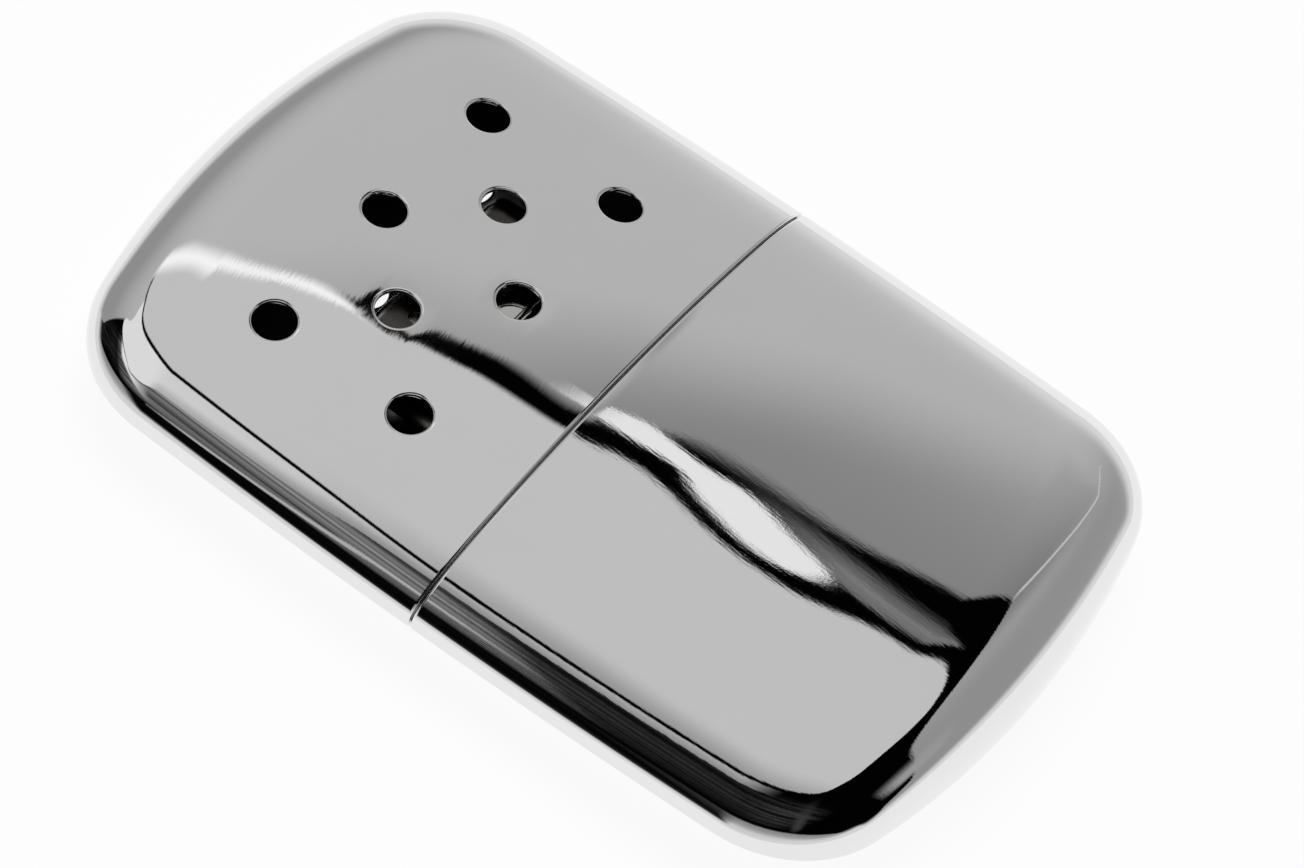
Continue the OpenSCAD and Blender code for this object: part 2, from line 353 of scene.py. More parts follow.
def thicken(outer: np.ndarray, inner: np.ndarray, quads: np.ndarray,
            edge: EdgeRound = EdgeRound(), scale: np.ndarray | float = 1.0
            ) -> tuple[np.ndarray, np.ndarray]:
    """Closed sheet between two surfaces with the same grid, with rounded edges.

    At each open edge of the grid, a strip goes from the outer point to the inner one:
    a point is outer + (inner - outer) * depth + outward * push.

    Args:
        outer: points of the outer surface.
        inner: the same points on the inner surface.
        quads: cells that are kept, anticlockwise seen from outside.
        edge: the rounding of the open edges.
        scale: millimetres that a push of 1 stands for, one for all or one a point.

    Returns:
        The closed solid's points and quads.
    """
    used, renumbered = np.unique(quads, return_inverse=True)
    quads = renumbered.reshape(quads.shape)
    factor = np.broadcast_to(scale, len(outer))[used]
    outer, inner = outer[used], inner[used]
    count = len(outer)
    diagonals = np.cross(outer[quads[:, 2]] - outer[quads[:, 0]],
                         outer[quads[:, 3]] - outer[quads[:, 1]])
    normal = np.zeros_like(outer)
    for corner in range(4):
        np.add.at(normal, quads[:, corner], diagonals)
    normal /= np.linalg.norm(normal, axis=1, keepdims=True) + 1e-12
    edges = np.concatenate([quads[:, [k, (k + 1) % 4]] for k in range(4)])
    edges = edges[edges[:, 0] != edges[:, 1]]
    key = np.sort(edges, 1) @ np.array([count, 1])
    _, where, times = np.unique(key, return_index=True, return_counts=True)
    rim = edges[where[times == 1]]
    along = outer[rim[:, 1]] - outer[rim[:, 0]]
    along /= np.linalg.norm(along, axis=1, keepdims=True) + 1e-12
    outward = np.zeros_like(outer)
    for corner in range(2):
        np.add.at(outward, rim[:, corner], np.cross(along, normal[rim[:, corner]]))
    outward /= np.linalg.norm(outward, axis=1, keepdims=True) + 1e-12
    on_rim = np.unique(rim)
    place = np.zeros(count, int)
    place[on_rim] = np.arange(len(on_rim))
    through = inner[on_rim] - outer[on_rim]
    strips = [outer[on_rim] + through * depth
              + outward[on_rim] * (push * factor[on_rim])[:, None]
              for push, depth in zip(edge.push, edge.depth)]
    points = np.concatenate([outer, inner] + strips)
    levels = [on_rim] + [2 * count + k * len(on_rim) + np.arange(len(on_rim))
                         for k in range(len(strips))] + [on_rim + count]
    start, stop = place[rim[:, 0]], place[rim[:, 1]]
    walls = [np.stack([upper[stop], upper[start], lower[start], lower[stop]], -1)
             for upper, lower in zip(levels[:-1], levels[1:])]
    return points, np.concatenate([quads, quads[:, ::-1] + count] + walls)


def opening_ring(long: int, wide: int, straight: float,
                 radius: float) -> tuple[np.ndarray, np.ndarray, np.ndarray, np.ndarray]:
    """Place of a square ring's points on a round-ended slot, or on a circle.

    A point on the long sides keeps its share of the straight part; the rest of the ring
    goes round the end arcs in equal angles.

    Args:
        long: steps from the middle to the ring, along the slot.
        wide: steps from the middle to the ring, across the slot.
        straight: half of the slot's straight part.
        radius: radius of the slot's ends.

    Returns:
        Each point's steps from the middle along and across the slot, then its offsets.
    """
    i, j = np.meshgrid(np.arange(-long, long + 1), np.arange(-wide, wide + 1), indexing="ij")
    ring = (np.abs(i) == long) | (np.abs(j) == wide)
    i, j = i[ring], j[ring]
    flat = max(long - wide, 0)
    ai, aj = np.abs(i), np.abs(j)
    share = np.minimum(ai, flat) / flat if flat else np.zeros_like(ai, float)
    on_side = aj == wide
    angle = np.where(on_side, math.pi / 2 - math.pi / 4 * np.maximum(ai - flat, 0) / wide,
                     math.pi / 4 * aj / wide)
    reach = np.where(on_side, straight * share, straight) + radius * np.cos(angle)
    on_straight = on_side & (ai <= flat)
    reach = np.where(on_straight, straight * share, reach)
    across = np.where(on_straight, radius, radius * np.sin(angle))
    return i, j, np.sign(i) * reach, np.sign(j) * across


# --- Cover and tank shells ---------------------------------------------------------------


@dataclass
class Shell:
    """One drawn half of the body, open at the seam, in a coordinate that grows outwards."""

    name: str
    toward: int
    rim: float
    vents: tuple[tuple[float, float], ...] = ()
    vent_radius: float = 2.25
    cell_x: float = 0.4125
    cell_y: float = 0.44
    first_row: float = 13.5
    lead_cells: int = 24
    row_cells: int = 40
    gap_cells: int = 6
    side_cells: int = 46
    turn_lines: tuple[int, int] = (21, 19)
    side_angle: float = 16.0
    corner_angle: float = 50.0
    block: int = 7
    roll_rings: int = 29
    rim_roll: float = 0.28
    hole_roll: float = 0.34
    dip: float = 0.006
    dip_reach: float = 0.8
    waves: tuple[float, float] = (0.006, 0.005)

    def columns(self) -> np.ndarray:
        """Grid lines along the body: even over the vents, then by angle in the corner.

        Returns:
            X of the lines, from the rim outwards.
        """
        _, side_turn = FORM.turns
        corner = FORM.centres[2]
        small = FORM.corner_radius - FORM.roll_width
        start = self.rim + self.rim_roll
        vents = self.first_row + self.cell_x * np.arange(
            -self.block, self.row_cells + self.block + 1)
        angles = np.linspace(side_turn, math.radians(self.corner_angle), self.turn_lines[0])
        curve = corner[0] + small * np.cos(angles)
        lead = np.linspace(start, vents[0], self.lead_cells + 1)[:-1]
        gap = np.linspace(vents[-1], curve[0], self.gap_cells + 1)[1:]
        return np.concatenate([lead, vents, gap, curve[1:]])

    def rows(self) -> np.ndarray:
        """Grid lines across the body: even over the vents, then by angle in the corner.

        Returns:
            Y of the lines.
        """
        corner = FORM.centres[2]
        small = FORM.corner_radius - FORM.roll_width
        even = self.cell_y * np.arange(-self.side_cells, self.side_cells + 1)
        angles = np.radians(np.linspace(self.side_angle, self.corner_angle,
                                        self.turn_lines[1]))[1:]
        outer = corner[1] + small * np.sin(angles)
        return np.concatenate([-outer[::-1], even, outer])

    def plan(self) -> tuple[np.ndarray, np.ndarray, np.ndarray]:
        """Places of the face's grid points, and which of its cells are kept.

        The last stretch of each column and row is scaled so that the grid's outer lines
        lie on the outline moved in by the roll's width.

        Returns:
            X and Y of the points, and the kept cells as a mask.
        """
        xs, ys = self.columns(), self.rows()
        grid_x, grid_y = np.meshgrid(xs, ys, indexing="ij")
        start_x = self.first_row + self.cell_x * (self.row_cells + self.block)
        start_y = self.cell_y * self.side_cells
        bound_x = FORM.edge_x(grid_y, FORM.roll_width)
        bound_y = FORM.edge_y(grid_x, FORM.roll_width)
        x = np.where(grid_x > start_x, start_x + (grid_x - start_x)
                     * (bound_x - start_x) / (xs[-1] - start_x), grid_x)
        y = np.where(np.abs(grid_y) > start_y,
                     np.sign(grid_y) * (start_y + (np.abs(grid_y) - start_y)
                                        * (bound_y - start_y) / (ys[-1] - start_y)), grid_y)
        keep = np.ones((len(xs) - 1, len(ys) - 1), bool)
        ring = self.block - 1
        for vent_x, vent_y in self.vents:
            ci = int(np.argmin(np.abs(xs - vent_x)))
            cj = int(np.argmin(np.abs(ys - vent_y)))
            i, j, dx, dy = opening_ring(ring, ring, 0.0, self.vent_radius + self.hole_roll)
            x[ci + i, cj + j] = vent_x + dx
            y[ci + i, cj + j] = vent_y + dy
            keep[ci - ring:ci + ring, cj - ring:cj + ring] = False
        return x, y, keep

    def waviness(self, x: np.ndarray, y: np.ndarray) -> np.ndarray:
        """Slight unevenness of the polished sheet: two long crossed waves, in millimetres.

        Round each vent the sheet also dips a little, as a bell curve of the distance.

        Args:
            x: X of the points.
            y: Y of the points.

        Returns:
            The height that each point gains.
        """
        wave = self.waves[0] * np.sin(x * 0.21 + 0.7 * np.sin(y * 0.17)) \
            + self.waves[1] * np.sin(y * 0.33 + x * 0.11 + 1.3)
        for vent_x, vent_y in self.vents:
            away = np.hypot(x - vent_x, y - vent_y) - self.vent_radius
            wave = wave - self.dip * np.exp(-(away / self.dip_reach) ** 2)
        return wave

    def surface(self, inset: float) -> np.ndarray:
        """Points of the whole half at so much inset: front, roll, then back.

        Args:
            inset: 0 for the outer side, the sheet's thickness for the inner one.

        Returns:
            The points, one a row.
        """
        x, y, _ = self.plan()
        width = FORM.roll_width - inset
        front = FORM.face(y, inset)
        back = FORM.back(front, inset)
        front = front + self.waviness(x, y) * (x > 0)
        edge_x, edge_y = border(x), border(y)
        normal = FORM.outward(edge_x, edge_y)
        t = FORM.roll_steps(self.roll_rings)[1:]
        t = np.concatenate([t, -t[-2::-1]])
        reach = width * FORM.roll_reach(np.abs(t))
        ring_x = edge_x + reach[:, None] * normal[:, 0]
        ring_y = edge_y + reach[:, None] * normal[:, 1]
        ring_x[:, [0, -1]] = edge_x[[0, -1]]
        share = FORM.roll_share(np.abs(t))[:, None]
        height = share * FORM.face(ring_y, inset)
        ring_z = np.where(t[:, None] >= 0, height + share**4 * self.waviness(ring_x, ring_y),
                          -FORM.back(height, inset))
        points = np.concatenate([points_of(x, y, front), points_of(ring_x, ring_y, ring_z),
                                 points_of(x, y, -back)])
        points[:, 0] *= self.toward
        return points

    def cells(self) -> np.ndarray:
        """Quads over the whole half, anticlockwise seen from outside.

        Returns:
            Four point numbers a quad.
        """
        x, _, keep = self.plan()
        nx, ny = x.shape
        number = np.arange(nx * ny).reshape(nx, ny)
        chain = border(number)
        rings = 2 * self.roll_rings - 1
        back = nx * ny + rings * len(chain)
        face = grid_quads(nx, ny)[keep.ravel()]
        loops = np.concatenate([chain[None], nx * ny + np.arange(rings * len(chain))
                                .reshape(rings, -1), chain[None] + back])
        roll = loops.ravel()[grid_quads(len(loops), len(chain))]
        quads = np.concatenate([face[:, ::-1], roll, face + back])
        return quads if self.toward > 0 else quads[:, ::-1]

    def build(self) -> bpy.types.Object:
        """Makes the shell's mesh.

        Returns:
            The shell as a closed sheet with rounded vent edges and a rounded rim. Its
            inner faces take the second material.
        """
        outer, inner = self.surface(0.0), self.surface(FORM.sheet)
        at_rim = outer[:, 0] * self.toward < self.rim + self.rim_roll + 0.01
        scale = np.where(at_rim, self.rim_roll, self.hole_roll)
        cells = self.cells()
        piece = make_piece(self.name, *thicken(outer, inner, cells, scale=scale))
        inside = np.zeros(len(piece.data.polygons), int)
        inside[len(cells):2 * len(cells)] = 1
        piece.data.polygons.foreach_set("material_index", inside)
        return piece


# --- Round-ended parts: neck, burner, wick and mat ---------------------------------------


@dataclass(frozen=True)
class Stadium:
    """Round-ended oblong about the body's middle line, as loops of constant distance."""

    straight: float = NECK_STRAIGHT
    side_cells: int = 60
    end_cells: int = 24
    stops: tuple[float, ...] = ()

    def loop(self) -> tuple[np.ndarray, np.ndarray, np.ndarray]:
        """Centre along Y and the normal's Y and Z, round the loop.

        The points along the straight sides are the stops, or else evenly spaced.

        Returns:
            The three arrays, along the front, round the +Y end, the back and the -Y end.
        """
        line = np.array(self.stops) if self.stops else np.linspace(
            -self.straight, self.straight, self.side_cells + 1)
        turn = np.linspace(0, math.pi, self.end_cells + 1)[1:-1]
        centre = np.concatenate([line, np.full(len(turn), self.straight), line[::-1],
                                 np.full(len(turn), -self.straight)])
        angle = np.concatenate([np.zeros(len(line)), turn, np.full(len(line), math.pi),
                                turn + math.pi])
        return centre, np.sin(angle), np.cos(angle)

    def carry(self, profile: np.ndarray) -> np.ndarray:
        """Carries a profile of X and distance round the loop.

        Args:
            profile: rows of X and distance from the middle line.

        Returns:
            Points, one profile row after the other.
        """
        centre, normal_y, normal_z = self.loop()
        x, distance = profile[:, :1], profile[:, 1:]
        return points_of(x, centre + distance * normal_y, distance * normal_z)

    @property
    def size(self) -> int:
        """Number of points in a loop."""
        return len(self.loop()[0])


# --- Tank insert, filler neck, packing and burner ----------------------------------------


@dataclass(frozen=True)
class LensLoop:
    """Loop round the body's section: two crowned faces joined by the rolled sides."""

    face_cells: int = 120
    roll_cells: int = 14
    at_x: float = DECK_X
    neck_straight: float = NECK_STRAIGHT

    def steps(self) -> tuple[np.ndarray, np.ndarray, np.ndarray]:
        """Kind of each point of the loop.

        Returns:
            Share across the face from -1 to 1, step t of the roll (pi / 2 on the front
            face, -pi / 2 on the back), and the side that a roll is on.
        """
        across = np.linspace(-1, 1, self.face_cells + 1)
        t = FORM.roll_steps(self.roll_cells)
        roll = np.concatenate([t[1:], -t[-2:0:-1]])
        share = np.concatenate([across, np.ones(len(roll)), across[::-1], -np.ones(len(roll))])
        step = np.concatenate([np.full(len(across), math.pi / 2), roll,
                               np.full(len(across), -math.pi / 2), roll[::-1]])
        return share, step, np.sign(share)

    def section(self, inset: float) -> tuple[np.ndarray, np.ndarray]:
        """Y and height over the middle plane of the section, moved in by inset.

        Args:
            inset: how far the section is moved in.

        Returns:
            The two arrays, round the loop.
        """
        share, t, side = self.steps()
        width = FORM.roll_width - inset
        edge = FORM.edge_y(np.array(self.at_x), inset)
        y = np.where(np.abs(t) > math.pi / 2 - 1e-9, share * (edge - width),
                     side * (edge - width + width * FORM.roll_reach(np.abs(t))))
        height = FORM.roll_share(np.abs(t)) * FORM.face(y, inset)
        return y, np.where(t >= 0, height, -FORM.back(height, inset))

    def opening(self, distance: float) -> tuple[np.ndarray, np.ndarray]:
        """Y and height of the round-ended opening that the section narrows to.

        Args:
            distance: radius of the opening's round ends.

        Returns:
            The two arrays, round the loop.
        """
        share, t, side = self.steps()
        on_face = np.abs(t) > math.pi / 2 - 1e-9
        y = np.where(on_face, share * self.neck_straight,
                     side * (self.neck_straight + distance * np.cos(t)))
        return y, distance * np.sin(t)

    def carry(self, profile: list[tuple[float, float, float, float]]) -> np.ndarray:
        """Carries a profile from the section in to the opening.

        Args:
            profile: rows of X, inset of the section, distance of the opening, and share
                of the way from the section to the opening.

        Returns:
            Points, one profile row after the other.
        """
        rows = []
        for x, inset, distance, share in profile:
            section_y, section_z = self.section(inset)
            open_y, open_z = self.opening(distance)
            rows.append(points_of(x, section_y * (1 - share) + open_y * share,
                                  section_z * (1 - share) + open_z * share))
        return np.concatenate(rows)

    @property
    def size(self) -> int:
        """Number of points in the loop."""
        return len(self.steps()[0])


@dataclass
class TankInsert:
    """Cup in the tank's mouth: the cover's collar, the grip dimples and the deck."""

    bottom: float = -4.475
    top: float = DECK_X
    inset: float = 0.85
    wall: float = 0.5
    edge_radius: float = 0.9
    neck_radius: float = NECK_RADIUS
    dimple_x: float = 3.9625
    dimple_y: float = 17.0
    dimple_radius: float = 1.5
    dimple_height: float = 0.2

    def surface(self, depth: float) -> np.ndarray:
        """One side of the cup's sheet: up the band, round the edge, in over the deck.

        Args:
            depth: 0 for the outer side, the sheet's thickness for the inner one.

        Returns:
            The points, one loop after the other.
        """
        radius = self.edge_radius
        loop = LensLoop()
        rows = [(x, self.inset + depth, self.neck_radius, 0.0)
                for x in np.linspace(self.bottom, self.top - radius, 36)]
        turn = np.radians(np.linspace(0, 90, 9))[1:]
        small = radius - depth
        rows += [(self.top - radius + small * math.sin(a),
                  self.inset + radius - small * math.cos(a), self.neck_radius, 0.0)
                 for a in turn]
        rows += [(self.top - depth, self.inset + radius, self.neck_radius, share)
                 for share in np.linspace(0, 1, 17)[1:]]
        points = loop.carry(rows)
        away = np.hypot(points[:, 0] - self.dimple_x, np.abs(points[:, 1]) - self.dimple_y)
        rise = np.clip(1 - (away / self.dimple_radius) ** 2, 0, 1) ** 1.5 * self.dimple_height
        points[:, 2] += np.sign(points[:, 2] - FORM.mid_z) * rise \
            * (points[:, 0] < self.top - radius)
        return points

    def build(self) -> bpy.types.Object:
        """Makes the cup's mesh.

        Returns:
            The new piece.
        """
        outer, inner = self.surface(0.0), self.surface(self.wall)
        size = LensLoop().size
        quads = grid_quads(len(outer) // size, size, wrap=True)[:, ::-1]
        edge = EdgeRound(push=(0.04, 0.06, 0.06, 0.04), depth=(0.06, 0.2, 0.8, 0.94))
        return make_piece("tank_insert_drawn", *thicken(outer, inner, quads, edge, 0.5))


def closed_profile(name: str, loop: Stadium | LensLoop, points: np.ndarray, rows: int
                   ) -> bpy.types.Object:
    """Ring-shaped piece: a closed profile carried round a loop.

    Args:
        name: the piece's name.
        loop: the loop that was followed.
        points: its points, one profile row after the other.
        rows: number of rows in the profile.

    Returns:
        The piece.
    """
    size = loop.size
    number = np.arange(rows * size).reshape(rows, size)
    number = np.concatenate([number, number[:1]])
    quads = number.ravel()[grid_quads(rows + 1, size, wrap=True)]
    return make_piece(name, points, quads[:, ::-1])


@dataclass
class FillerNeck:
    """Round-ended spout with a rolled lip and a flange soldered to the deck."""

    bottom: float = 5.05
    deck: float = DECK_X
    top: float = 12.15
    radius: float = NECK_RADIUS
    wall: float = 0.5
    flange: float = 1.5
    flange_thickness: float = 0.4
    flange_round: float = 0.2
    fillet: float = 0.45

    def build(self) -> bpy.types.Object:
        """Makes the neck: its profile goes up outside, over the lip and down inside.

        Returns:
            The new piece.
        """
        outer, inner = self.radius, self.radius - self.wall
        edge, high = outer + self.flange, self.deck + self.flange_thickness
        lip, small, hollow = self.wall / 2, self.flange_round, self.fillet
        profile = [(self.bottom, outer), (self.deck - 0.02, outer), (self.deck, edge - 0.1)]
        profile += [(self.deck + small - small * math.cos(a), edge - small + small * math.sin(a))
                    for a in np.linspace(0.2, math.pi, 8)]
        profile += [(high, edge - 0.6), (high, outer + 0.5)]
        profile += [(high + hollow - hollow * math.cos(a), outer + hollow - hollow * math.sin(a))
                    for a in np.linspace(0.15, math.pi / 2, 6)]
        profile += [(x, outer) for x in np.linspace(high + 1, self.top - lip - 0.2, 4)]
        profile += [(self.top - lip + lip * math.sin(a), inner + lip + lip * math.cos(a))
                    for a in np.linspace(0, math.pi, 11)]
        profile += [(x, inner) for x in np.linspace(self.top - lip - 0.4, self.bottom, 6)]
        loop = Stadium(side_cells=24, end_cells=32)
        points = loop.carry(np.array(profile))
        return closed_profile("filler_neck_drawn", loop, points, len(profile))


@dataclass
class SoftPlug:
    """Round-ended plug of loose fibre, closed at both ends, lumpy but within its space."""

    name: str
    bottom: float
    top: float
    radius: float
    dome: float
    lump: float
    seed: float

    def build(self) -> bpy.types.Object:
        """Makes the plug: a rounded profile round the middle line, drawn in by lumps.

        Returns:
            The new piece.
        """
        soft = min(0.9, self.radius * 0.4)
        turn = np.linspace(0, math.pi / 2, 7)
        start = [(self.bottom, d) for d in np.linspace(0, self.radius - soft, 8)[:-1]]
        start += [(self.bottom + soft - soft * math.cos(a),
                   self.radius - soft + soft * math.sin(a)) for a in turn]
        sides = [(x, self.radius) for x in
                 np.linspace(self.bottom + soft, self.top - self.dome - soft, 20)[1:-1]]
        end = [(self.top - self.dome - soft + soft * math.sin(a),
                self.radius - soft + soft * math.cos(a)) for a in turn]
        reach = self.radius - soft
        cap = [(self.top - self.dome * (d / reach) ** 2, d)
               for d in np.linspace(reach, 0, 12)[1:]]
        profile = np.array(start + sides + end + cap)
        loop = Stadium(side_cells=56, end_cells=30)
        points = loop.carry(profile)
        x, y, z = points.T
        wave = np.sin(1.9 * x + 2.3 * np.sin(1.1 * y + self.seed)) \
            * np.sin(2.7 * y + 1.7 * z + self.seed) \
            + 0.6 * np.sin(5.1 * y + 3.3 * x + 2 * self.seed) * np.sin(4.3 * z + 2.9 * x)
        middle = points_of((self.bottom + self.top) / 2,
                           np.clip(y, -loop.straight, loop.straight), 0.0)
        inward = middle - points
        inward /= np.linalg.norm(inward, axis=1, keepdims=True) + 1e-9
        fade = np.repeat(np.clip(profile[:, 1] / 1.2, 0, 1), loop.size)
        points += inward * ((1.6 + wave) / 3.2 * self.lump * fade)[:, None]
        quads = grid_quads(len(profile), loop.size, wrap=True)[:, ::-1]
        return close_ends(make_piece(self.name, *weld(points, quads, 4)))


def close_ends(piece: bpy.types.Object) -> bpy.types.Object:
    """Joins doubled points where a piece folds onto itself, and turns its faces outwards.

    Args:
        piece: the piece, whose mesh is changed.

    Returns:
        The same piece.
    """
    work = bmesh.new()
    work.from_mesh(piece.data)
    bmesh.ops.remove_doubles(work, verts=work.verts, dist=2e-6)
    bmesh.ops.dissolve_degenerate(work, edges=work.edges, dist=1e-7)
    bmesh.ops.recalc_face_normals(work, faces=work.faces)
    work.to_mesh(piece.data)
    work.free()
    return piece


@dataclass
class FeltPad:
    """Felt under the deck, cut out for the neck, with softened edges."""

    bottom: float = 3.65
    top: float = 6.65
    inset: float = 1.65
    opening: float = 4.2
    soft: float = 0.5

    def build(self) -> bpy.types.Object:
        """Makes the pad: a closed profile from the section in to the opening and back.

        Returns:
            The new piece.
        """
        soft, turn = self.soft, np.linspace(0, math.pi / 2, 5)
        outside = [(self.bottom + soft - soft * math.cos(a), soft - soft * math.sin(a))
                   for a in turn] + [(self.top - soft + soft * math.sin(a),
                                      soft - soft * math.cos(a)) for a in turn]
        shares = np.linspace(0, 1, 13)
        rows = [(x, self.inset + d, self.opening, 0.0) for x, d in outside]
        rows += [(self.top, self.inset + soft, self.opening, s) for s in shares[1:-1]]
        rows += [(x, self.inset + soft, self.opening, 1.0)
                 for x in np.linspace(self.top, self.bottom, 8)]
        rows += [(self.bottom, self.inset + soft, self.opening, s) for s in shares[-2:0:-1]]
        loop = LensLoop(face_cells=60, roll_cells=8)
        points = loop.carry(rows)
        x, y, z = points.T
        points[:, 0] -= np.sign(x - (self.bottom + self.top) / 2) * 0.06 \
            * (1 + np.sin(1.3 * y + 2.0 * np.sin(1.7 * z)))
        return close_ends(closed_profile("felt_pad_cut", loop, points, len(rows)))


@dataclass
class Batting:
    """One fold of the cotton in the tank, between two heights over the middle plane."""

    name: str
    low: float
    high: float
    seed: float
    end: float = 3.65
    inset: float = 1.65

    def heights(self, x: np.ndarray, y: np.ndarray) -> tuple[np.ndarray, np.ndarray]:
        """Upper and lower surface of the fold: the tank's inside, cut at its two levels.

        Args:
            x: X of the points.
            y: Y of the points.

        Returns:
            The two heights over the middle plane.
        """
        depth = np.clip(FORM.depth_in(x, y) - self.inset, 0, FORM.roll_width - self.inset)
        width = FORM.roll_width - self.inset
        share = (1 - np.clip(1 - depth / width, 0, 1) ** FORM.fullness) ** (1 / FORM.fullness)
        room = share * FORM.face(y, self.inset)
        upper = np.minimum(room, self.high)
        lower = np.maximum(-FORM.back(room, self.inset), self.low)
        middle, half = (upper + lower) / 2, np.maximum((upper - lower) / 2, 0.12)
        return middle + half, middle - half

    def build(self) -> bpy.types.Object:
        """Makes the fold over a plan grid: lines along the body, narrowed at its end.

        Returns:
            The new piece.
        """
        end, _, corner = FORM.centres
        start = max(self.low, -self.high, 0.0)
        room = FORM.half_thickness - self.inset - 1.6
        width = FORM.roll_width - self.inset
        extra = width * (1 - (1 - (start / room) ** FORM.fullness) ** (1 / FORM.fullness))
        inset = self.inset + extra + 0.05
        angle = np.linspace(0.03, FORM.turns[1], 44)
        reach = np.where(angle < FORM.turns[0], end + (FORM.end_radius - inset) * np.cos(angle),
                         corner[0] + (FORM.corner_radius - inset) * np.cos(angle))
        half = np.where(angle < FORM.turns[0], (FORM.end_radius - inset) * np.sin(angle),
                        corner[1] + (FORM.corner_radius - inset) * np.sin(angle))
        straight = np.linspace(reach[-1], -self.end, 60)[1:]
        lines = np.concatenate([reach, straight])
        half = np.concatenate([half, FORM.edge_y(straight, inset)])
        share = np.sin(np.linspace(-math.pi / 2, math.pi / 2, 73))
        x = np.broadcast_to(-lines[:, None], (len(lines), len(share)))
        y = half[:, None] * share
        upper, lower = self.heights(x, y)
        wave = (1 + np.sin(0.55 * x + 1.8 * np.sin(0.4 * y + self.seed))
                * np.sin(0.7 * y + self.seed)) / 2
        thick = upper - lower
        squeeze = np.minimum(0.22 * wave, 0.2 * thick)
        top, bottom = points_of(x, y, upper - squeeze), points_of(x, y, lower + squeeze)
        edge = EdgeRound(push=(0.03, 0.05, 0.03), depth=(0.2, 0.5, 0.8))
        points, quads = thicken(top, bottom, grid_quads(len(lines), len(share)), edge, 0.5)
        return make_piece(self.name, points, quads[:, ::-1])


